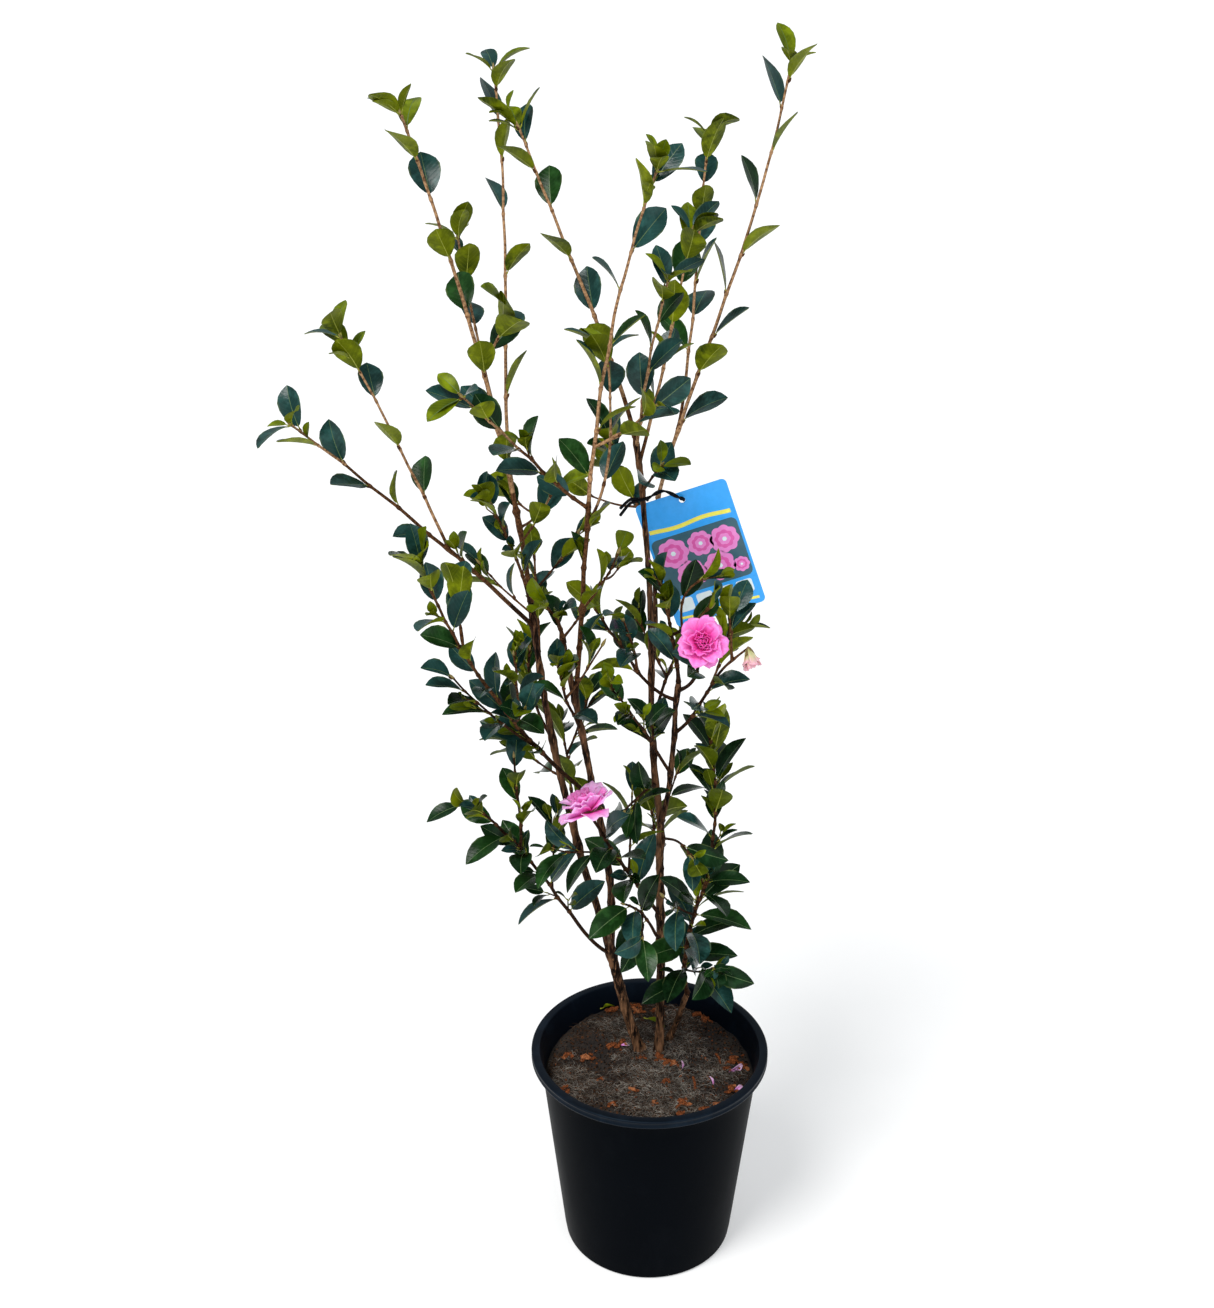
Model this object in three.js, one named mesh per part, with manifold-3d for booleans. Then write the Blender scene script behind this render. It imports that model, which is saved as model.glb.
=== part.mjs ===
// A camellia shrub, slim and upright, in a round nursery pot of black plastic.
// Three stems rise from the soil and fork into boughs. Sprays of leaves, long whips,
// two open blossoms, a faded one and a hanging plant tag sit on the boughs.
// Millimetres, +Z up. The origin is the centre of the pot's flat underside.
// -Y is the front, +X is the right-hand side seen from the front.

import * as THREE from "three";
import { mergeVertices } from "three/addons/utils/BufferGeometryUtils.js";
import Module from "manifold-3d";

const wasm = await Module();
wasm.setup();

const GAP = 0.3; // clearance between pieces that touch
const FRONT = new THREE.Vector3(0, -1, 0);
const RIGHT = new THREE.Vector3(1, 0, 0);
const UP = new THREE.Vector3(0, 0, 1);

const POT = {
  height: 238,
  rimRadius: 125,
  lipHeight: 9,
  lipRound: 2.5,
  mouthRadius: 116,
  bodyTopRadius: 116.6,
  baseRadius: 90,
  baseRound: 4,
  wall: 2.6,
  floor: 3.5,
  sides: 40,
};
const DRAIN = { count: 6, radius: 7, ring: 66, cut: 4 * POT.floor, sides: 8 };
const SOIL = { level: 209, mound: 1.5, moundRadius: 60, feed: 0.5 };

const LIMB_SIDES = 8;
const LIMB_STEP = 38; // length of one segment of a limb
const TWIG_SIDES = 3;
const TWIG_STEP = 52;
const TWIG_SWELL = 1.3; // a three-sided twig is drawn fatter, to hold a round one's wood
const KNEE_SCALE = 9.48; // makes the knee term peak at 1, a quarter of the way up
const FLARE = { share: 0.32, height: 14 };
const FOOT_DEPTH = 3; // how far a trunk is drawn into the soil before its level cut
const LEANING = 0.85; // a stem that leans this much to front or back is measured from the right
const WELD = 1e-4; // points closer than this are one
const DICE = { spread: 7919, start: 12345, factor: 1664525, step: 1013904223, range: 2 ** 32 };
const JOINT = { clear: 0.35, reach: 20 }; // gap at a fork, and how near a root another stem counts

// Each limb: where it starts (a foot on the soil, or a share of another limb), its tip,
// how far it bows and how far it kinks low down, and its radius at foot and tip.
const LIMBS = [
  {
    name: "trunk_left", foot: [-9, 31],
    tip: [-42, 14, 354], bow: [-2, 0, 0], knee: [0, 0, 0], radii: [5.3, 5.0],
  },
  {
    name: "trunk_right", foot: [10, 27],
    tip: [9, 8, 507], bow: [0, 0, 5], knee: [2, 0, 0], radii: [4.7, 3.7],
  },
  {
    name: "stem_right", foot: [20, 48],
    tip: [40, 20, 292], bow: [2, 0, 2], knee: [0, 0, 0], radii: [3.5, 2.8],
  },
  {
    name: "bough_left", on: "trunk_left", at: 1,
    tip: [-119, 45, 732], bow: [-11, 0, 4], knee: [0, 0, 0], radii: [4.0, 2.9],
  },
  {
    name: "bough_middle", on: "trunk_left", at: 1,
    tip: [-86, -32, 724], bow: [4, 0, 4], knee: [7, -3, -1], radii: [4.0, 2.6],
  },
  {
    name: "bough_right", on: "trunk_right", at: 1,
    tip: [-19, 28, 905], bow: [6, 0, 8], knee: [-7, 0, 0], radii: [3.3, 2.3],
  },
  {
    name: "bough_front", on: "trunk_right", at: 1,
    tip: [23, -20, 677], bow: [2, 0, 2], knee: [2, -4, 0], radii: [2.8, 2.3],
  },
  {
    name: "bough_back", on: "bough_right", at: 0.385,
    tip: [4, 78, 826], bow: [0, 6, 1], knee: [2, 2, 0], radii: [2.4, 1.9],
  },
];
const STUB = { on: "trunk_left", at: 0.97, tip: [-44, 2, 384], radii: [1.9, 1.6] };

// Each shoot: the mass that it belongs to, the limb or shoot that it leaves and where,
// its tip, bow and knee, its radius at root and tip, its leaves (length, spacing, first
// bearing, turn from leaf to leaf, the bare share above the root, droop) and its side twigs.
const SHOOTS = [
  {
    name: "whip_left", mass: "whips_left", on: "bough_left", at: 1,
    tip: [-227, 80, 1186], bow: [8, 0, 13], knee: [3, 0, 0], radii: [2.6, 1.2],
    leaf: 43, gap: 50, phase: 330, turn: 188, bare: 0.1, twigs: 1,
  },
  {
    name: "whip_left_back", mass: "whips_left", on: "whip_left", at: 0.35,
    tip: [-185, 140, 1062], bow: [-2, 0, 0], knee: [1, 0, 0], radii: [1.6, 0.9],
    leaf: 38, gap: 50, phase: 30, turn: 176, bare: 0.3,
  },
  {
    name: "whip_left_tall", mass: "whips_left", on: "whip_left", at: 0.18,
    tip: [-148, 150, 1213], bow: [5, 0, 5], knee: [-9, 0, 0], radii: [1.9, 1.0],
    leaf: 40, gap: 56, phase: 200, turn: 187, bare: 0.22,
  },
  {
    name: "whip_left_side", mass: "whips_left", on: "whip_left", at: 0.15,
    tip: [-107, 100, 811], bow: [2, 0, -2], knee: [0, 0, 0], radii: [1.4, 0.9],
    leaf: 42, gap: 13, phase: 80, turn: 150, bare: 0.4, twigs: 1,
  },
  {
    name: "spray_far_left", mass: "spray_far_left", on: "bough_left", at: 0.93,
    tip: [-313, -100, 959], bow: [-4, 0, 10], knee: [0, 0, 0], radii: [2.4, 1.0],
    leaf: 38, gap: 40, phase: 330, turn: 172, bare: 0.2,
  },
  {
    name: "spray_far_left_up", mass: "spray_far_left", on: "spray_far_left", at: 0.36,
    tip: [-282, 10, 1004], bow: [1, 0, 3], knee: [0, 0, 0], radii: [1.6, 0.9],
    leaf: 38, gap: 42, phase: 20, turn: 172, bare: 0.15,
  },
  {
    name: "spray_left_fork", mass: "spray_left_fork", on: "bough_left", at: 0.96,
    tip: [-152, 0, 849], bow: [4, 0, 3], knee: [0, 0, 0], radii: [1.8, 1.0],
    leaf: 40, gap: 20, phase: 10, turn: 144, bare: 0.25, twigs: 1,
  },
  {
    name: "whip_middle", mass: "whips_middle", on: "bough_middle", at: 0.82,
    tip: [-4, -45, 1161], bow: [-19, 0, 19], knee: [6, 0, 0], radii: [2.5, 1.0],
    leaf: 40, gap: 46, phase: 330, turn: 170, bare: 0.08, twigs: 1,
  },
  {
    name: "whip_middle_side", mass: "whips_middle", on: "whip_middle", at: 0.33,
    tip: [-45, -10, 997], bow: [9, 0, 1], knee: [4, 0, -2], radii: [1.5, 0.9],
    leaf: 40, gap: 44, phase: 200, turn: 170, bare: 0.2,
  },
  {
    name: "whip_crossing", mass: "whips_middle", on: "whip_middle", at: 0.36,
    tip: [-164, -130, 993], bow: [-3, 0, 3], knee: [-2, 0, -2], radii: [1.8, 0.9],
    leaf: 38, gap: 24, phase: 300, turn: 150, bare: 0.1,
  },
  {
    name: "whip_middle_low", mass: "whips_middle", on: "whip_middle", at: 0.17,
    tip: [-35, 25, 790], bow: [2, 0, -2], knee: [0, 0, 0], radii: [1.4, 0.9],
    leaf: 42, gap: 15, phase: 60, turn: 144, bare: 0.3, twigs: 1,
  },
  {
    name: "spray_middle", mass: "spray_middle", on: "bough_middle", at: 1,
    tip: [-100, -62, 772], bow: [3, 0, 3], knee: [0, 0, 0], radii: [2.2, 1.0],
    leaf: 43, gap: 16, phase: 0, turn: 144, bare: 0.25,
  },
  {
    name: "spray_middle_side", mass: "spray_middle", on: "spray_middle", at: 0.1,
    tip: [-68, 5, 738], bow: [0, 0, -2], knee: [0, 0, 0], radii: [1.5, 0.9],
    leaf: 42, gap: 16, phase: 90, turn: 144, bare: 0.35,
  },
  {
    name: "spray_left_low", mass: "spray_left_low", on: "bough_middle", at: 0.5,
    tip: [-203, -150, 849], bow: [-20, 0, -2], knee: [0, 0, -2], radii: [2.4, 1.0],
    leaf: 44, gap: 20, phase: 300, turn: 150, bare: 0.2, twigs: 2,
  },
  {
    name: "spray_left_low_side", mass: "spray_left_low", on: "spray_left_low", at: 0.27,
    tip: [-183, -110, 725], bow: [-3, 0, -2], knee: [0, 0, 0], radii: [1.4, 0.9],
    leaf: 42, gap: 26, phase: 270, turn: 160, bare: 0.3,
  },
  {
    name: "spray_left_low_up", mass: "spray_left_low", on: "spray_left_low", at: 0.36,
    tip: [-128, -110, 748], bow: [0, 0, 1], knee: [0, 0, 0], radii: [1.5, 0.9],
    leaf: 42, gap: 16, phase: 90, turn: 144, bare: 0.3,
  },
  {
    name: "spray_left_mid", mass: "spray_left_mid", on: "bough_left", at: 0.61,
    tip: [-122, 70, 668], bow: [-8, 0, -1], knee: [0, 0, 0], radii: [1.8, 1.0],
    leaf: 44, gap: 15, phase: 0, turn: 144, bare: 0.3,
  },
  {
    name: "spray_centre", mass: "spray_centre", on: "bough_middle", at: 0.72,
    tip: [-90, -68, 716], bow: [-3, 0, 0], knee: [0, 0, 0], radii: [1.7, 1.0],
    leaf: 44, gap: 20, phase: 20, turn: 150, bare: 0.2, twigs: 1,
  },
  {
    name: "spray_low_left", mass: "spray_low_left", on: "trunk_left", at: 0.93,
    tip: [-134, -80, 537], bow: [2, 0, -3], knee: [-5, 0, -5], radii: [2.2, 1.4],
    leaf: 44, gap: 24, phase: 60, turn: 160, bare: 0.4, droop: 0.3, twigs: 1,
  },
  {
    name: "spray_low_left_end", mass: "spray_low_left", on: "spray_low_left", at: 1,
    tip: [-178, -112, 596], bow: [2, 0, 6], knee: [0, 0, -3], radii: [1.6, 0.9],
    leaf: 40, gap: 18, phase: 270, turn: 165, bare: 0.1, droop: 0.2,
  },
  {
    name: "spray_low_left_up", mass: "spray_low_left", on: "spray_low_left", at: 0.95,
    tip: [-133, -60, 617], bow: [0, 0, 0], knee: [3, 0, 0], radii: [1.5, 0.9],
    leaf: 40, gap: 18, phase: 270, turn: 165, bare: 0.15,
  },
  {
    name: "blossom_left", mass: "blossom_left", on: "trunk_right", at: 0.6,
    tip: [-62, -90, 574], bow: [0, 0, -4], knee: [0, 0, 0], radii: [2.2, 1.5],
    leaf: 47, gap: 21, phase: 60, turn: 144, bare: 0.3, droop: 0.2, twigs: 2,
    blossom: { facing: [-0.25, 0.3, 0.9], petal: 30, open: 66 },
  },
  {
    name: "whip_centre", mass: "whip_centre", on: "bough_right", at: 1,
    tip: [-123, 90, 1172], bow: [0, 0, 4], knee: [3, 0, 1], radii: [2.2, 1.0],
    leaf: 40, gap: 46, phase: 325, turn: 184, bare: 0.1,
  },
  {
    name: "whip_centre_short", mass: "whip_centre_short", on: "bough_right", at: 0.975,
    tip: [8, -12, 1061], bow: [-3, -6, 3], knee: [0, -4, 0], radii: [1.6, 0.9],
    leaf: 36, gap: 26, phase: 20, turn: 160, bare: 0.15,
  },
  {
    name: "whip_right_near", mass: "whip_right_near", on: "bough_right", at: 0.93,
    tip: [31, 62, 1085], bow: [2, 6, 2], knee: [2, 4, 0], radii: [1.8, 0.9],
    leaf: 38, gap: 34, phase: 40, turn: 165, bare: 0.15,
  },
  {
    name: "spray_right_tuft", mass: "spray_right_tuft", on: "bough_right", at: 0.86,
    tip: [4, -14, 892], bow: [0, 0, 0], knee: [0, 0, 0], radii: [1.5, 0.9],
    leaf: 36, gap: 14, phase: 90, turn: 150, bare: 0.3,
  },
  {
    name: "whip_right", mass: "whips_right", on: "bough_back", at: 1,
    tip: [113, 50, 1233], bow: [13, 0, 8], knee: [-7, 0, 2], radii: [2.0, 1.0],
    leaf: 42, gap: 44, phase: 215, turn: 186, bare: 0.1,
  },
  {
    name: "whip_right_back", mass: "whips_right", on: "whip_right", at: 0.16,
    tip: [49, 150, 1157], bow: [0, 0, 2], knee: [3, 0, 0], radii: [1.6, 0.9],
    leaf: 38, gap: 30, phase: 40, turn: 170, bare: 0.2,
  },
  {
    name: "spray_trunk_up", mass: "spray_trunk_up", on: "bough_right", at: 0.18,
    tip: [-3, -28, 636], bow: [0, 0, 0], knee: [0, -3, 0], radii: [1.7, 1.0],
    leaf: 42, gap: 16, phase: 300, turn: 144, bare: 0.35,
  },
  {
    name: "spray_trunk_side", mass: "spray_trunk_side", on: "bough_right", at: 0.1,
    tip: [-28, -72, 566], bow: [-1, 0, 2], knee: [0, 0, 0], radii: [1.6, 1.0],
    leaf: 44, gap: 24, phase: 200, turn: 150, bare: 0.3,
  },
  {
    name: "spray_front", mass: "spray_front", on: "bough_front", at: 1,
    tip: [4, -60, 795], bow: [1, 0, 1], knee: [1, 0, 0], radii: [2.0, 1.0],
    leaf: 42, gap: 20, phase: 300, turn: 144, bare: 0.1, twigs: 1,
  },
  {
    name: "spray_front_right", mass: "spray_front", on: "spray_front", at: 0.24,
    tip: [44, -22, 784], bow: [-14, 0, 9], knee: [10, 0, -6], radii: [1.5, 0.9],
    leaf: 40, gap: 18, phase: 90, turn: 150, bare: 0.4,
  },
  {
    name: "blossom_front", mass: "blossom_front", on: "bough_front", at: 0.94,
    tip: [40, -92, 752], bow: [5, 0, -2], knee: [4, -4, 0], radii: [1.9, 1.5],
    leaf: 44, gap: 20, phase: 90, turn: 144, bare: 0.4,
    blossom: { facing: [0.05, -0.85, 0.5], petal: 27, open: 66 },
  },
  {
    name: "spray_right", mass: "spray_right", on: "bough_front", at: 0.64,
    tip: [84, -72, 737], bow: [-4, 0, 7], knee: [5, 0, -5], radii: [1.9, 1.1],
    leaf: 46, gap: 18, phase: 90, turn: 150, bare: 0.2, droop: 0.1, twigs: 1,
    blossom: { facing: [0.2, -0.35, -0.9], petal: 22, open: 30, inner: 0 },
  },
  {
    name: "spray_right_up", mass: "spray_right", on: "spray_right", at: 0.82,
    tip: [66, -60, 770], bow: [0, 0, 0], knee: [0, 0, 0], radii: [1.3, 0.9],
    leaf: 36, gap: 14, phase: 30, turn: 150, bare: 0.3,
  },
  {
    name: "spray_cross", mass: "spray_cross", on: "bough_front", at: 0.87,
    tip: [-58, 55, 722], bow: [-1, -12, -2], knee: [-4, -8, 0], radii: [1.9, 1.0],
    leaf: 43, gap: 18, phase: 180, turn: 144, bare: 0.3,
  },
  {
    name: "spray_cross_up", mass: "spray_cross", on: "spray_cross", at: 0.43,
    tip: [-30, -55, 757], bow: [2, 0, 1], knee: [0, 0, 0], radii: [1.4, 0.9],
    leaf: 42, gap: 17, phase: 270, turn: 144, bare: 0.3,
  },
  {
    name: "spray_low_centre", mass: "spray_low_centre", on: "bough_front", at: 0.36,
    tip: [-40, -84, 700], bow: [1, 0, 4], knee: [0, -4, 0], radii: [1.8, 1.0],
    leaf: 42, gap: 24, phase: 60, turn: 150, bare: 0.3,
  },
  {
    name: "spray_trunk_right", mass: "spray_trunk_right", on: "trunk_right", at: 0.93,
    tip: [36, -64, 512], bow: [2, 0, 5], knee: [0, 0, 0], radii: [1.5, 1.0],
    leaf: 44, gap: 30, phase: 90, turn: 150, bare: 0.5, droop: 0.3,
  },
  {
    name: "spray_foot_right", mass: "spray_foot_right", on: "stem_right", at: 1,
    tip: [55, -24, 458], bow: [-7, 0, 2], knee: [-3, 0, 0], radii: [2.3, 1.7],
    leaf: 50, gap: 11, phase: 300, turn: 144, bare: 0.04, droop: 0.45, twigs: 3,
  },
  {
    name: "spray_right_tall", mass: "spray_foot_right", on: "spray_foot_right", at: 1,
    tip: [54, 6, 610], bow: [8, 0, 1], knee: [-1, 0, 0], radii: [1.7, 1.0],
    leaf: 46, gap: 15, phase: 90, turn: 144, bare: 0.12, twigs: 1,
  },
  {
    name: "spray_foot_left", mass: "spray_foot_left", on: "trunk_right", at: 0.49,
    tip: [-28, -62, 455], bow: [5, 0, 7], knee: [-1, -3, -2], radii: [2, 1.1],
    leaf: 48, gap: 18, phase: 270, turn: 150, bare: 0.4, droop: 0.35, twigs: 1,
  },
  {
    name: "spray_foot_back", mass: "spray_foot_back", on: "trunk_right", at: 0.7,
    tip: [2, 92, 470], bow: [0, 0, 8], knee: [0, 0, 0], radii: [1.9, 1.0],
    leaf: 48, gap: 16, phase: 180, turn: 144, bare: 0.35, droop: 0.3, twigs: 2,
  },
  {
    name: "spray_back_left", mass: "spray_back_left", on: "bough_left", at: 0.3,
    tip: [-92, 118, 560], bow: [0, 0, 8], knee: [0, 0, 0], radii: [1.9, 1.0],
    leaf: 46, gap: 17, phase: 180, turn: 144, bare: 0.3, droop: 0.15, twigs: 2,
  },
  {
    name: "spray_back_left_up", mass: "spray_back_left_up", on: "bough_left", at: 0.8,
    tip: [-118, 130, 745], bow: [0, 0, 4], knee: [0, 0, 0], radii: [1.8, 1.0],
    leaf: 44, gap: 17, phase: 200, turn: 144, bare: 0.25, twigs: 2,
  },
  {
    name: "spray_back_right", mass: "spray_back_right", on: "bough_right", at: 0.26,
    tip: [32, 98, 668], bow: [0, 0, 6], knee: [0, 0, 0], radii: [1.9, 1.0],
    leaf: 46, gap: 17, phase: 180, turn: 144, bare: 0.3, twigs: 2,
  },
  {
    name: "spray_back_top", mass: "spray_back_top", on: "bough_back", at: 0.72,
    tip: [-38, 128, 838], bow: [0, 0, 6], knee: [0, 0, 0], radii: [1.7, 1.0],
    leaf: 42, gap: 18, phase: 160, turn: 144, bare: 0.25, twigs: 2,
  },
];

// The rule for a leaf. Angles are in degrees unless they say radians.
const LEAF = {
  widthUpper: 0.66, // width over length high up
  widthLower: 0.5, // and low down, where the leaves are slimmer
  widthFrom: 620,
  widthTo: 820,
  stalk: 4,
  fold: 0.22, // radians that each half rises beside the midrib
  curl: 0.5, // radians that the tip bends back
  twist: 0.8, // radians between the leaves rolled most each way
  level: 0.55, // how strongly the upper side turns to the sky
  thickness: 0.9, // below the midrib, at the keel
  keel: 0.36,
  shoulders: [0.27, 0.7], // where the corners of its outline are
  heel: 0.3, // how far its root reaches past the middle of the stem
  tipAngle: 22, // angle to the stem at its tip
  lowAngle: 44, // and lower down
  angleOver: 90, // over this length of stem
  wobble: 16,
  young: 0.74, // size of the leaf at the tip, as a share of the full size
  youngOver: 3, // leaves until they are full-sized
  sizeSpread: 0.24,
  gapSpread: 0.4,
  crowd: [0.3, 0.25], // spacing at the tip as a share, and how much it grows from leaf to leaf
};
// The width of a blade along its length. The scale makes its greatest width 1.
const OUTLINE = { scale: 2.36, rise: 0.55, fall: 0.7 };
const TWIG = {
  long: 78,
  short: 46,
  lengthSpread: 0.3,
  angle: 52,
  lift: 0.14,
  sag: 0.056,
  radii: [1.25, 0.85],
  start: 90, // bearing of the first, past the shoot's own
  bearing: 137.5,
  gap: 17,
  turn: 150,
  bare: 0.25,
  lowest: 0.05, // share of the shoot above its bare part where twigs start
  highest: 0.82, // share of the shoot up to which they grow
  free: 0.2, // share of a twig by its root that takes no room
  checks: [0.3, 0.45, 0.6, 0.75, 0.9, 1], // places on a twig that need room
  seedStep: 500,
};
const BLOSSOM = {
  upright: 0.8, // past this share of straight up, petals are counted from the front
  outer: 5,
  inner: 3,
  innerLength: 0.72,
  innerOpen: 0.5,
  innerTurn: 36,
  heart: 0.34,
  lift: 0.2,
  width: 0.95,
  fold: 0.18,
  curl: 0.3,
  room: 0.8,
  roomLift: 6,
  clear: 14, // length of stem below it without leaves
};
const ROOM = {
  sameMass: 6.5,
  otherMass: 9,
  stem: 4,
  floor: 5,
  step: 6,
  free: 0.05, // share of a shoot by its root that takes no room
  along: [0.3, 0.5, 0.7, 0.88], // places on a blade that need room
  across: [-1, -0.5, 0, 0.5, 1],
};
const TURNS = [0, 35, -35, 75, -75, 120]; // how far a leaf that has no room is turned

const TAG = {
  width: 90,
  height: 133,
  thickness: 0.8,
  corner: 5,
  centre: [45, 42, 783],
  roll: 19,
  cornerSegments: 4,
  hole: 3,
  holeInset: 8,
};
const TAG_ROOM = { across: 8, down: 10 };
const TIE = {
  radius: 1.6,
  ringGap: 0.35,
  at: 0.84,
  sides: 5,
  turns: 10,
  steps: 12,
  halfSides: 2,
  arch: [0, -4, 9], // how its strand rises half-way,
  over: [-3, -6, 3], // comes down in front of the card,
  end: [2, 5, -3], // and ends behind it
};

const COLOURS = {
  pot: 0x15181c,
  soil: 0x3a2b22,
  trunk: 0x5a3d2b,
  bough: 0x6b4a34,
  leaf: 0x24432a,
  leafLight: 0x55702a,
  tag: 0x2f86d6,
  tie: 0x131313,
};
const ROUGHNESS = { pot: 0.45, soil: 0.95, limb: 0.85, stub: 0.9, leaf: 0.4, tag: 0.35, tie: 0.5 };

const vec = (list) => new THREE.Vector3(...list);
const rad = THREE.MathUtils.degToRad;
const mix = (a, b, t) => a + (b - a) * Math.min(1, Math.max(0, t));

// Random numbers between 0 and 1 from a whole-number seed.
function dice(seed) {
  let state = (seed * DICE.spread + DICE.start) % DICE.range;
  const roll = () => {
    state = (state * DICE.factor + DICE.step) % DICE.range;
    return state / DICE.range;
  };
  roll();
  roll();
  roll();
  return roll;
}

// A stem: a straight line from base to tip, bowed in the middle and kinked low down.
class Stem {
  constructor(base, tip, bow, knee, radii) {
    Object.assign(this, { base, tip, bow, knee, radii });
    this.line = tip.clone().sub(base);
    this.length = this.line.length();
    this.reference = Math.abs(this.line.y) > LEANING * this.length ? RIGHT : FRONT;
  }

  point(s) {
    const bow = 4 * s * (1 - s);
    const knee = KNEE_SCALE * s * (1 - s) ** 3;
    return this.base
      .clone()
      .addScaledVector(this.line, s)
      .addScaledVector(this.bow, bow)
      .addScaledVector(this.knee, knee);
  }

  direction(s) {
    const bow = 4 * (1 - 2 * s);
    const knee = KNEE_SCALE * (1 - s) ** 2 * (1 - 4 * s);
    const way = this.line.clone().addScaledVector(this.bow, bow);
    return way.addScaledVector(this.knee, knee).normalize();
  }

  radius(s) {
    return mix(this.radii[0], this.radii[1], s);
  }

  // The direction square to the stem at a bearing: 0 is the front, 90 the right.
  outward(s, bearing) {
    const along = this.direction(s);
    const first = this.reference.clone().addScaledVector(along, -this.reference.dot(along));
    const second = along.clone().cross(first.normalize());
    first.multiplyScalar(Math.cos(rad(bearing)));
    return first.addScaledVector(second, Math.sin(rad(bearing)));
  }
}

// A closed solid from a three.js geometry.
function solidFrom(geometry) {
  geometry.deleteAttribute("normal");
  geometry.deleteAttribute("uv");
  const merged = mergeVertices(geometry, WELD);
  return new wasm.Manifold(
    new wasm.Mesh({
      numProp: 3,
      vertProperties: new Float32Array(merged.attributes.position.array),
      triVerts: new Uint32Array(merged.index.array),
    }),
  );
}

// A tapering tube: a cylinder with its rings moved onto the stem.
function tube(stem, sides, step, swell = 1, extra = 0, flare = false) {
  const rings = Math.max(2, Math.round(stem.length / step));
  const geometry = new THREE.CylinderGeometry(1, 1, 1, sides, rings);
  const position = geometry.attributes.position;
  for (let i = 0; i < position.count; i++) {
    const s = position.getY(i) + 0.5;
    const along = stem.direction(s);
    const height = s * stem.length;
    const spread = flare ? 1 + FLARE.share * Math.max(0, 1 - height / FLARE.height) : 1;
    const radius = stem.radius(s) * spread * swell + extra;
    const end = s === 1 ? extra : 0;
    const place = stem
      .point(s)
      .addScaledVector(stem.outward(s, 0), position.getX(i) * radius)
      .addScaledVector(stem.outward(s, 90), -position.getZ(i) * radius)
      .addScaledVector(along, end);
    position.setXYZ(i, place.x, place.y, place.z);
  }
  return solidFrom(geometry);
}

// A trunk stands on a level cut at the soil.
function levelCut(solid) {
  const block = new THREE.BoxGeometry(2 * POT.rimRadius, 2 * POT.rimRadius, POT.height);
  block.translate(0, 0, SOIL.level + GAP - POT.height / 2);
  return solid.subtract(solidFrom(block));
}

// A point of a leaf's blade: u runs from the stalk to the tip, v from edge to edge.
function bladePoint(leaf, u, v) {
  const angle = leaf.curl * u;
  const ahead = leaf.stalk + (leaf.length * Math.sin(angle)) / leaf.curl;
  const drop = (leaf.length * (1 - Math.cos(angle))) / leaf.curl;
  const half = 0.5 * leaf.length * leaf.width * leafShape(u) * v;
  const normal = leaf.normal.clone().multiplyScalar(Math.cos(angle));
  normal.addScaledVector(leaf.along, Math.sin(angle));
  return leaf.root
    .clone()
    .addScaledVector(leaf.along, ahead)
    .addScaledVector(leaf.normal, -drop)
    .addScaledVector(leaf.side, half * Math.cos(leaf.fold))
    .addScaledVector(normal, Math.abs(half) * Math.sin(leaf.fold));
}

// The width of a blade along its length, as a share of its greatest width.
function leafShape(u) {
  return OUTLINE.scale * u ** OUTLINE.rise * (1 - u) ** OUTLINE.fall;
}

// A leaf as a thin solid: six points round its edge and one under its midrib.
function leafSolid(leaf) {
  const [low, high] = LEAF.shoulders;
  const keel = bladePoint(leaf, LEAF.keel, 0).addScaledVector(leaf.normal, -LEAF.thickness);
  const points = [
    leaf.root.clone().addScaledVector(leaf.along, -LEAF.heel),
    bladePoint(leaf, low, 1),
    bladePoint(leaf, high, 1),
    bladePoint(leaf, 1, 0),
    bladePoint(leaf, high, -1),
    bladePoint(leaf, low, -1),
    keel,
  ];
  const upper = [0, 1, 5, 5, 1, 2, 5, 2, 4, 4, 2, 3];
  const under = [1, 0, 6, 2, 1, 6, 3, 2, 6, 4, 3, 6, 5, 4, 6, 0, 5, 6];
  const geometry = new THREE.BufferGeometry();
  const positions = points.flatMap((point) => point.toArray());
  geometry.setAttribute("position", new THREE.Float32BufferAttribute(positions, 3));
  geometry.setIndex([...upper, ...under]);
  return solidFrom(geometry);
}

// A leaf that leaves a stem at s, at a bearing, an angle to the stem and with a droop.
function makeLeaf(stem, s, bearing, angle, length, droop, roll) {
  const stemway = stem.direction(s);
  const outward = stem.outward(s, bearing);
  const along = stemway
    .clone()
    .multiplyScalar(Math.cos(rad(angle)))
    .addScaledVector(outward, Math.sin(rad(angle)))
    .addScaledVector(UP, -droop)
    .normalize();
  const normal = stemway
    .clone()
    .multiplyScalar(Math.sin(rad(angle)))
    .addScaledVector(outward, -Math.cos(rad(angle)))
    .addScaledVector(UP, LEAF.level);
  normal.addScaledVector(along, -normal.dot(along)).normalize();
  normal.applyAxisAngle(along, LEAF.twist * (roll - 0.5));
  const root = stem.point(s);
  const high = mix(0, 1, (root.z - LEAF.widthFrom) / (LEAF.widthTo - LEAF.widthFrom));
  return {
    root,
    along,
    normal,
    side: along.clone().cross(normal),
    length,
    width: mix(LEAF.widthLower, LEAF.widthUpper, high),
    stalk: LEAF.stalk + stem.radius(s),
    fold: LEAF.fold,
    curl: LEAF.curl,
  };
}

// What takes up room so far: points, each with a radius and the mass it belongs to.
const taken = [];

function takeStem(stem, mass, from = 0) {
  const count = Math.ceil(stem.length / ROOM.step);
  for (let i = Math.ceil(from * count); i <= count; i++) {
    const s = i / count;
    taken.push({ point: stem.point(s), radius: stem.radius(s), mass, stem });
  }
}

// Points over a leaf's blade. The part by its root is left out, where leaves of one
// mass may come close.
function leafPoints(leaf) {
  const points = [];
  for (const u of ROOM.along) {
    for (const v of ROOM.across) points.push(bladePoint(leaf, u, v));
  }
  points.push(bladePoint(leaf, 1, 0));
  return points;
}

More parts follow.
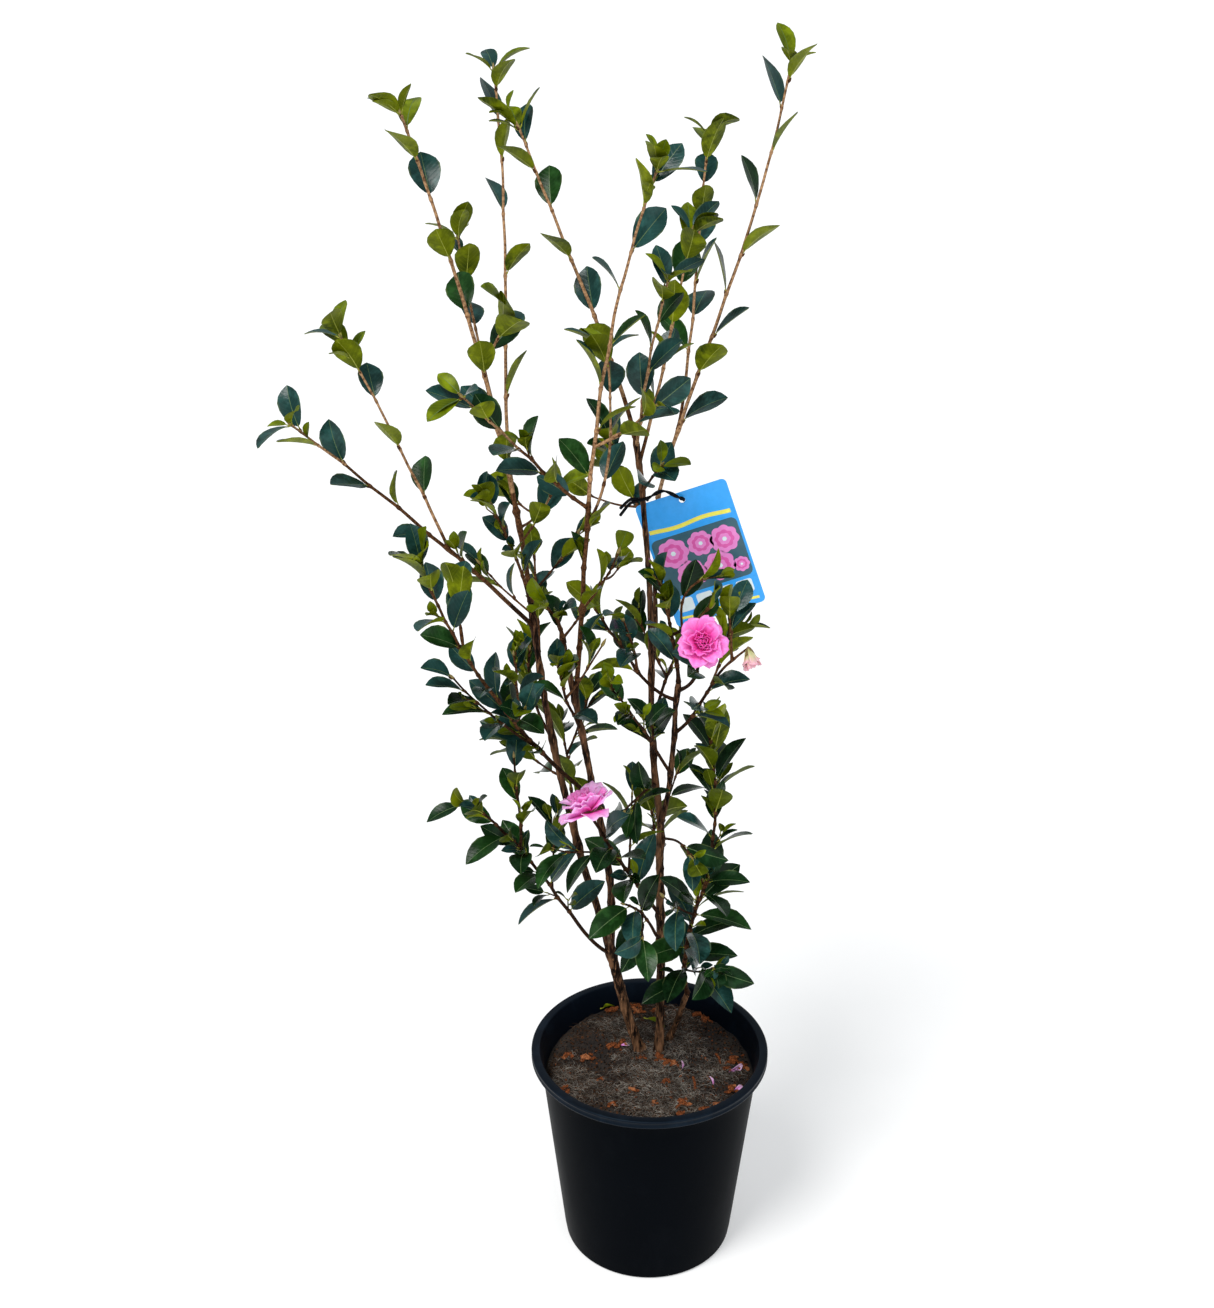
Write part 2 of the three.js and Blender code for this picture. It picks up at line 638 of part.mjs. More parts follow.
function hasRoom(points, mass, own) {
  return points.every(
    (point) =>
      point.z > SOIL.level + ROOM.floor &&
      taken.every((other) => {
        if (other.stem && other.stem === own) return true;
        const apart = other.mass === mass ? ROOM.sameMass : ROOM.otherMass;
        const need = other.stem ? other.radius + ROOM.stem : other.radius + apart;
        return point.distanceToSquared(other.point) > need * need;
      }),
  );
}

// Leaves from the tip of a stem down to its bare part, crowded at the tip.
function growLeaves(shoot) {
  const { stem, mass, leaf: size, gap, phase, turn, bare = 0, droop = 0, seed } = shoot;
  const roll = dice(seed);
  const leaves = [];
  let below = shoot.blossom ? BLOSSOM.clear : 0;
  for (let i = 0; below < (1 - bare) * stem.length; i++) {
    const s = 1 - below / stem.length;
    const bearing = phase + i * turn + LEAF.wobble * (roll() - 0.5);
    const wide = mix(LEAF.tipAngle, LEAF.lowAngle, below / LEAF.angleOver);
    const angle = wide + LEAF.wobble * (roll() - 0.5);
    const grown = mix(LEAF.young, 1, (i + 1) / LEAF.youngOver);
    const length = size * grown * (1 + LEAF.sizeSpread * (roll() - 0.5));
    const tilt = roll();
    for (const extra of TURNS) {
      const leaf = makeLeaf(stem, s, bearing + extra, angle, length, droop, tilt);
      const points = leafPoints(leaf);
      if (!hasRoom(points, mass, stem)) continue;
      points.forEach((point) => taken.push({ point, radius: 0, mass }));
      leaves.push(leaf);
      break;
    }
    const crowd = Math.min(1, LEAF.crowd[0] + LEAF.crowd[1] * i);
    below += gap * crowd * (1 + LEAF.gapSpread * (roll() - 0.5));
  }
  return leaves;
}

// Side twigs, spread round a shoot from its bare part to near its tip.
function growTwigs(shoot) {
  const { stem, mass, twigs = 0, bare = 0, seed } = shoot;
  const roll = dice(seed + TWIG.seedStep);
  const grown = [];
  for (let i = 0; i < twigs; i++) {
    const s = mix(bare + TWIG.lowest, TWIG.highest, (i + 0.5) / twigs);
    const length = mix(TWIG.long, TWIG.short, s) * (1 + TWIG.lengthSpread * (roll() - 0.5));
    const phase = 360 * roll();
    for (const extra of TURNS) {
      const bearing = shoot.phase + TWIG.start + i * TWIG.bearing + extra;
      const way = stem
        .direction(s)
        .multiplyScalar(Math.cos(rad(TWIG.angle)))
        .addScaledVector(stem.outward(s, bearing), Math.sin(rad(TWIG.angle)));
      const base = stem.point(s);
      const tip = base.clone().addScaledVector(way, length);
      tip.addScaledVector(UP, TWIG.lift * length);
      const bow = UP.clone().multiplyScalar(-TWIG.sag * length);
      const twig = new Stem(base, tip, bow, vec([0, 0, 0]), TWIG.radii);
      const points = TWIG.checks.map((share) => twig.point(share));
      if (!hasRoom(points, mass, stem)) continue;
      takeStem(twig, mass, TWIG.free);
      grown.push({
        ...shoot,
        name: `${shoot.name}_twig_${i}`,
        stem: twig,
        gap: TWIG.gap,
        phase,
        turn: TWIG.turn,
        bare: TWIG.bare,
        twigs: 0,
        blossom: null,
        seed: seed * 10 + i + 1,
      });
      break;
    }
  }
  return grown;
}

// A blossom: two rings of petals round a small heart, at the tip of its shoot.
function blossomSolid(stem, blossom) {
  const facing = vec(blossom.facing).normalize();
  const beside = Math.abs(facing.z) > BLOSSOM.upright ? FRONT : UP;
  const across = facing.clone().cross(beside).normalize();
  const centre = stem.point(1);
  const heart = new THREE.OctahedronGeometry(blossom.petal * BLOSSOM.heart);
  const middle = centre.clone().addScaledVector(facing, blossom.petal * BLOSSOM.lift);
  heart.translate(...middle.toArray());
  let solid = solidFrom(heart);
  const rings = [
    { count: BLOSSOM.outer, open: blossom.open, length: blossom.petal, start: 0 },
    {
      count: blossom.inner ?? BLOSSOM.inner,
      open: blossom.open * BLOSSOM.innerOpen,
      length: blossom.petal * BLOSSOM.innerLength,
      start: BLOSSOM.innerTurn,
    },
  ];
  for (const ring of rings) {
    for (let i = 0; i < ring.count; i++) {
      const bearing = rad(ring.start + (i * 360) / ring.count);
      const outward = across.clone().applyAxisAngle(facing, bearing);
      const along = facing
        .clone()
        .multiplyScalar(Math.cos(rad(ring.open)))
        .addScaledVector(outward, Math.sin(rad(ring.open)));
      const normal = facing.clone().addScaledVector(along, -facing.dot(along)).normalize();
      const petal = {
        root: centre,
        along,
        normal,
        side: along.clone().cross(normal),
        length: ring.length,
        width: BLOSSOM.width,
        stalk: 0,
        fold: BLOSSOM.fold,
        curl: BLOSSOM.curl,
      };
      solid = solid.add(leafSolid(petal));
    }
  }
  return solid;
}

// The biggest body of a solid. Scraps that a cut leaves are dropped, and sealed hollows
// are filled by leaving out their inner skins.
function wholeBody(solid) {
  const bodies = solid.decompose();
  return bodies.reduce((best, body) => (body.volume() > best.volume() ? body : best));
}

function meshFrom(solid, name, colour, roughness) {
  const { vertProperties, triVerts } = solid.getMesh();
  const geometry = new THREE.BufferGeometry();
  geometry.setAttribute("position", new THREE.BufferAttribute(vertProperties, 3));
  geometry.setIndex(new THREE.BufferAttribute(triVerts, 1));
  geometry.computeVertexNormals();
  const material = new THREE.MeshStandardMaterial({ color: colour, roughness, metalness: 0 });
  const mesh = new THREE.Mesh(geometry, material);
  mesh.name = name;
  return mesh;
}

function lathe(profile, sides) {
  const geometry = new THREE.LatheGeometry(profile, sides);
  geometry.rotateX(Math.PI / 2);
  return solidFrom(geometry);
}

// The pot's inner radius at a height.
function innerRadius(z) {
  return mix(POT.baseRadius, POT.bodyTopRadius, z / POT.height) - POT.wall;
}

function potSolid() {
  const lipFoot = POT.height - POT.lipHeight;
  const bodyAt = (z) => mix(POT.baseRadius, POT.bodyTopRadius, z / POT.height);
  const p = (r, z) => new THREE.Vector2(r, z);
  const profile = [
    p(0, 0),
    p(POT.baseRadius - POT.baseRound, 0),
    p(bodyAt(POT.baseRound), POT.baseRound),
    p(bodyAt(lipFoot), lipFoot),
    p(POT.rimRadius - POT.lipRound, lipFoot),
    p(POT.rimRadius, lipFoot + POT.lipRound),
    p(POT.rimRadius, POT.height - POT.lipRound),
    p(POT.rimRadius - POT.lipRound, POT.height),
    p(POT.mouthRadius, POT.height),
    p(innerRadius(lipFoot), lipFoot),
    p(innerRadius(POT.floor), POT.floor),
    p(0, POT.floor),
  ];
  let pot = lathe(profile, POT.sides);
  for (let i = 0; i < DRAIN.count; i++) {
    const angle = (2 * Math.PI * i) / DRAIN.count;
    const hole = new THREE.CylinderGeometry(DRAIN.radius, DRAIN.radius, DRAIN.cut, DRAIN.sides);
    hole.rotateX(Math.PI / 2);
    hole.translate(DRAIN.ring * Math.cos(angle), DRAIN.ring * Math.sin(angle), 0);
    pot = pot.subtract(solidFrom(hole));
  }
  return pot;
}

function soilSolid() {
  const foot = POT.floor + GAP;
  const p = (r, z) => new THREE.Vector2(r, z);
  return lathe(
    [
      p(0, foot),
      p(innerRadius(foot) - SOIL.feed, foot),
      p(innerRadius(SOIL.level - SOIL.mound) - SOIL.feed, SOIL.level - SOIL.mound),
      p(SOIL.moundRadius, SOIL.level),
      p(0, SOIL.level),
    ],
    POT.sides,
  );
}

// The plant tag: a thin card with round corners and a hole for its tie.
function tagFrame() {
  const matrix = new THREE.Matrix4().makeRotationX(Math.PI / 2);
  matrix.premultiply(new THREE.Matrix4().makeRotationY(-rad(TAG.roll)));
  matrix.premultiply(new THREE.Matrix4().makeTranslation(...TAG.centre));
  return matrix;
}

function tagSolid() {
  const w = TAG.width / 2;
  const h = TAG.height / 2;
  const c = TAG.corner;
  const card = new THREE.Shape();
  card.absarc(w - c, h - c, c, 0, Math.PI / 2);
  card.absarc(-w + c, h - c, c, Math.PI / 2, Math.PI);
  card.absarc(-w + c, -h + c, c, Math.PI, 1.5 * Math.PI);
  card.absarc(w - c, -h + c, c, 1.5 * Math.PI, 2 * Math.PI);
  card.holes.push(new THREE.Path().absarc(0, h - TAG.holeInset, TAG.hole, 0, 2 * Math.PI, true));
  const geometry = new THREE.ExtrudeGeometry(card, {
    depth: TAG.thickness,
    bevelEnabled: false,
    curveSegments: TAG.cornerSegments,
  });
  geometry.translate(0, 0, -TAG.thickness / 2);
  geometry.applyMatrix4(tagFrame());
  return solidFrom(geometry);
}

// The tie: a ring round the bough that it hangs on, and a strand through the tag's hole.
function tieSolid(bough) {
  const centre = bough.point(TIE.at);
  const ringRadius = bough.radius(TIE.at) + TIE.ringGap + TIE.radius;
  const ring = new THREE.TorusGeometry(ringRadius, TIE.radius, TIE.sides, TIE.turns);
  const turn = new THREE.Quaternion().setFromUnitVectors(UP, bough.direction(TIE.at));
  ring.applyQuaternion(turn);
  ring.translate(...centre.toArray());
  const hole = new THREE.Vector3(0, TAG.height / 2 - TAG.holeInset, 0).applyMatrix4(tagFrame());
  const rest = hole.clone().addScaledVector(UP, TAG.hole - TIE.radius - GAP);
  const path = new THREE.CatmullRomCurve3([
    centre.clone().addScaledVector(RIGHT, ringRadius),
    centre.clone().lerp(rest, 0.5).add(vec(TIE.arch)),
    rest.clone().add(vec(TIE.over)),
    rest,
    rest.clone().add(vec(TIE.end)),
  ]);
  const section = new THREE.Shape().absarc(0, 0, TIE.radius, 0, 2 * Math.PI);
  const strand = new THREE.ExtrudeGeometry(section, {
    steps: TIE.steps,
    extrudePath: path,
    curveSegments: TIE.halfSides,
  });
  return solidFrom(ring).add(solidFrom(strand));
}

// Limbs first: they take their room before anything else.
const stems = new Map();
for (const limb of LIMBS) {
  const base = limb.foot
    ? new THREE.Vector3(...limb.foot, SOIL.level - FOOT_DEPTH)
    : stems.get(limb.on).point(limb.at);
  const stem = new Stem(base, vec(limb.tip), vec(limb.bow), vec(limb.knee), limb.radii);
  stems.set(limb.name, stem);
  takeStem(stem, limb.name);
}
SHOOTS.forEach((shoot, i) => {
  const base = stems.get(shoot.on).point(shoot.at);
  shoot.stem = new Stem(base, vec(shoot.tip), vec(shoot.bow), vec(shoot.knee), shoot.radii);
  shoot.seed = i + 1;
  stems.set(shoot.name, shoot.stem);
  takeStem(shoot.stem, shoot.mass, ROOM.free);
  if (shoot.blossom) {
    const facing = vec(shoot.blossom.facing).normalize();
    const heart = shoot.stem.point(1).addScaledVector(facing, BLOSSOM.roomLift);
    taken.push({ point: heart, radius: shoot.blossom.petal * BLOSSOM.room, mass: shoot.name });
  }
});
for (let i = 0; i <= TAG_ROOM.across; i++) {
  for (let j = 0; j <= TAG_ROOM.down; j++) {
    const x = TAG.width * (i / TAG_ROOM.across - 0.5);
    const y = TAG.height * (j / TAG_ROOM.down - 0.5);
    const point = new THREE.Vector3(x, y, 0).applyMatrix4(tagFrame());
    taken.push({ point, radius: 0, mass: "tag" });
  }
}

// Then side twigs, and after them the leaves on every shoot and twig.
const twigs = SHOOTS.flatMap(growTwigs);
const growing = [...SHOOTS, ...twigs];
for (const shoot of growing) shoot.leaves = growLeaves(shoot);

const root = new THREE.Group();
root.add(meshFrom(potSolid(), "pot", COLOURS.pot, ROUGHNESS.pot));
root.add(meshFrom(soilSolid(), "soil", COLOURS.soil, ROUGHNESS.soil));

// Each piece is cut back from the stems that it meets near its own root.
const cutters = [];
function cutByNeighbours(solid, stem, on) {
  let cut = solid;
  for (const other of cutters) {
    const near = other.stem.base.distanceTo(stem.base) < JOINT.reach;
    if (other.name === on || near) cut = cut.subtract(other.solid);
  }
  return cut;
}

for (const limb of LIMBS) {
  const stem = stems.get(limb.name);
  const standing = Boolean(limb.foot);
  let solid = tube(stem, LIMB_SIDES, LIMB_STEP, 1, 0, standing);
  solid = standing ? levelCut(solid) : cutByNeighbours(solid, stem, limb.on);
  const colour = standing ? COLOURS.trunk : COLOURS.bough;
  root.add(meshFrom(wholeBody(solid), limb.name, colour, ROUGHNESS.limb));
  const cutter = tube(stem, LIMB_SIDES, LIMB_STEP, 1, JOINT.clear, standing);
  cutters.push({ name: limb.name, stem, solid: cutter });
}
const stubBase = stems.get(STUB.on).point(STUB.at);
const stub = new Stem(stubBase, vec(STUB.tip), vec([0, 0, 0]), vec([0, 0, 0]), STUB.radii);
const stubSolid = cutByNeighbours(tube(stub, LIMB_SIDES, LIMB_STEP), stub, STUB.on);
root.add(meshFrom(wholeBody(stubSolid), "dead_stub", COLOURS.trunk, ROUGHNESS.stub));

const masses = [...new Set(SHOOTS.map((shoot) => shoot.mass))];
for (const mass of masses) {
  const members = growing.filter((shoot) => shoot.mass === mass);
  const first = members[0];
  let solid = null;
  for (const shoot of members) {
    const wood = tube(shoot.stem, TWIG_SIDES, TWIG_STEP, TWIG_SWELL);
    solid = solid ? solid.add(wood) : wood;
    for (const leaf of shoot.leaves) solid = solid.add(leafSolid(leaf));
    if (shoot.blossom) solid = solid.add(blossomSolid(shoot.stem, shoot.blossom));
  }
  solid = cutByNeighbours(solid, first.stem, first.on);
  const colour = first.stem.point(1).z > LEAF.widthTo ? COLOURS.leafLight : COLOURS.leaf;
  root.add(meshFrom(wholeBody(solid), mass, colour, ROUGHNESS.leaf));
  const cutter = tube(first.stem, TWIG_SIDES, TWIG_STEP, TWIG_SWELL, 2 * GAP);
  cutters.push({ name: mass, stem: first.stem, solid: cutter });
}

root.add(meshFrom(tagSolid(), "tag", COLOURS.tag, ROUGHNESS.tag));
root.add(meshFrom(tieSolid(stems.get("bough_right")), "tag_tie", COLOURS.tie, ROUGHNESS.tie));

export default root;
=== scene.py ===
import math
from collections import namedtuple

import bpy
import numpy as np
from mathutils import Euler, Matrix, Vector, noise


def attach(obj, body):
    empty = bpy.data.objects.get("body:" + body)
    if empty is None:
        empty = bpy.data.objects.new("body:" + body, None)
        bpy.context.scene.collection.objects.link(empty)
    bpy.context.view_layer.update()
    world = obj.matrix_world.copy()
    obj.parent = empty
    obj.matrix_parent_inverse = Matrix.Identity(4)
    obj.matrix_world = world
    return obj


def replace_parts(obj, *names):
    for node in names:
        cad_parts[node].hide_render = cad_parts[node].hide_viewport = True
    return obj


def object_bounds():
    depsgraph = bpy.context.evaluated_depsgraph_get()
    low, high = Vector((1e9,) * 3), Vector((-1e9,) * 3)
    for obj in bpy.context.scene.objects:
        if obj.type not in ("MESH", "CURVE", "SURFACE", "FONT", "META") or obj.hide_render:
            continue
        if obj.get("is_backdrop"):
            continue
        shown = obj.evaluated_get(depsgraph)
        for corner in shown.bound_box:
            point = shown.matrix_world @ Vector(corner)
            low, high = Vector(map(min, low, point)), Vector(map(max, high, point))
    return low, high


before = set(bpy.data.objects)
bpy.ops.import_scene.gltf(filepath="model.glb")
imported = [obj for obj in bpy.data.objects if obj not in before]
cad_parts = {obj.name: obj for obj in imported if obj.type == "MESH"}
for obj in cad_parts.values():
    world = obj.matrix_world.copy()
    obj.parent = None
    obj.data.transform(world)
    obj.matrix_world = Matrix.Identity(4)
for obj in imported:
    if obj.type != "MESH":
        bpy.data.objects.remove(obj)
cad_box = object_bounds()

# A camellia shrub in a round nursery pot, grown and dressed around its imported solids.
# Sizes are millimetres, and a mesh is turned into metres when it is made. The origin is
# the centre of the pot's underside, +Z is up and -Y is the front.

MM = 0.001
FRONT = np.array([0.0, -1.0, 0.0])
RIGHT = np.array([1.0, 0.0, 0.0])
UP = np.array([0.0, 0.0, 1.0])

# The view of the photograph: its frame in pixels, and a camera fitted to the pot's rim and base
PHOTO = (1214, 1308)
FOCAL_PIXELS = 1900
EYE = (-45.0, -1643.1, 1472.1)
PITCH = 25.254
SENSOR = 36.0

POT = dict(height=238, rim=125, lip=9, mouth=116, top=116.6, base=90, wall=2.6, floor=3.5,
           base_round=4, bead=1.6, groove=0.9, under_lip=2.5, brim_round=1.2, turns=160)
# How far below the lip outside, and below the soil inside, the pot shows its rim's finish: the same
# plastic with a painted bluish sky reflection
PAINTED_SHEEN_REACH = dict(below_lip=3, below_soil=20)
DRAIN = dict(count=6, radius=7, ring=66, sides=24)
SOIL = dict(level=209, foot_depth=3, rings=46, turns=132, roughness=2.4, mound=3, sink=5, heap=9,
            above_floor=0.4, lump=16)

# How a limb bends: the scale of its kink low down, and the share of its length that it may lean
# to the front or back and still have its bearings counted from the front
KNEE_SCALE = 9.48
LEANING = 0.85
STRAIGHT = (0, 0, 0)

# Each limb: where it starts (a foot on the soil, or a share of another limb), its tip,
# how far it bows and how far it kinks low down, and its radius at foot and tip. A bow or kink
# that isn't given is none.
LIMBS = [
    dict(name="trunk_left", foot=(-9, 31), tip=(-42, 14, 354), bow=(-2, 0, 0), radii=(5.3, 5)),
    dict(name="trunk_right", foot=(10, 27), tip=(9, 8, 507), bow=(0, 0, 5), knee=(2, 0, 0),
         radii=(4.7, 3.7)),
    dict(name="stem_right", foot=(20, 48), tip=(40, 20, 292), bow=(2, 0, 2), radii=(3.5, 2.8)),
    dict(name="bough_left", on="trunk_left", at=1, tip=(-119, 45, 732), bow=(-11, 0, 4),
         radii=(4, 2.9)),
    dict(name="bough_middle", on="trunk_left", at=1, tip=(-86, -32, 724), bow=(4, 0, 4),
         knee=(7, -3, -1), radii=(4, 2.6)),
    dict(name="bough_right", on="trunk_right", at=1, tip=(-19, 28, 905), bow=(6, 0, 8), knee=(-7, 0, 0),
         radii=(3.3, 2.3)),
    dict(name="bough_front", on="trunk_right", at=1, tip=(23, -20, 677), bow=(2, 0, 2), knee=(2, -4, 0),
         radii=(2.8, 2.3)),
    dict(name="bough_back", on="bough_right", at=0.385, tip=(4, 78, 826), bow=(0, 6, 1), knee=(2, 2, 0),
         radii=(2.4, 1.9)),
]

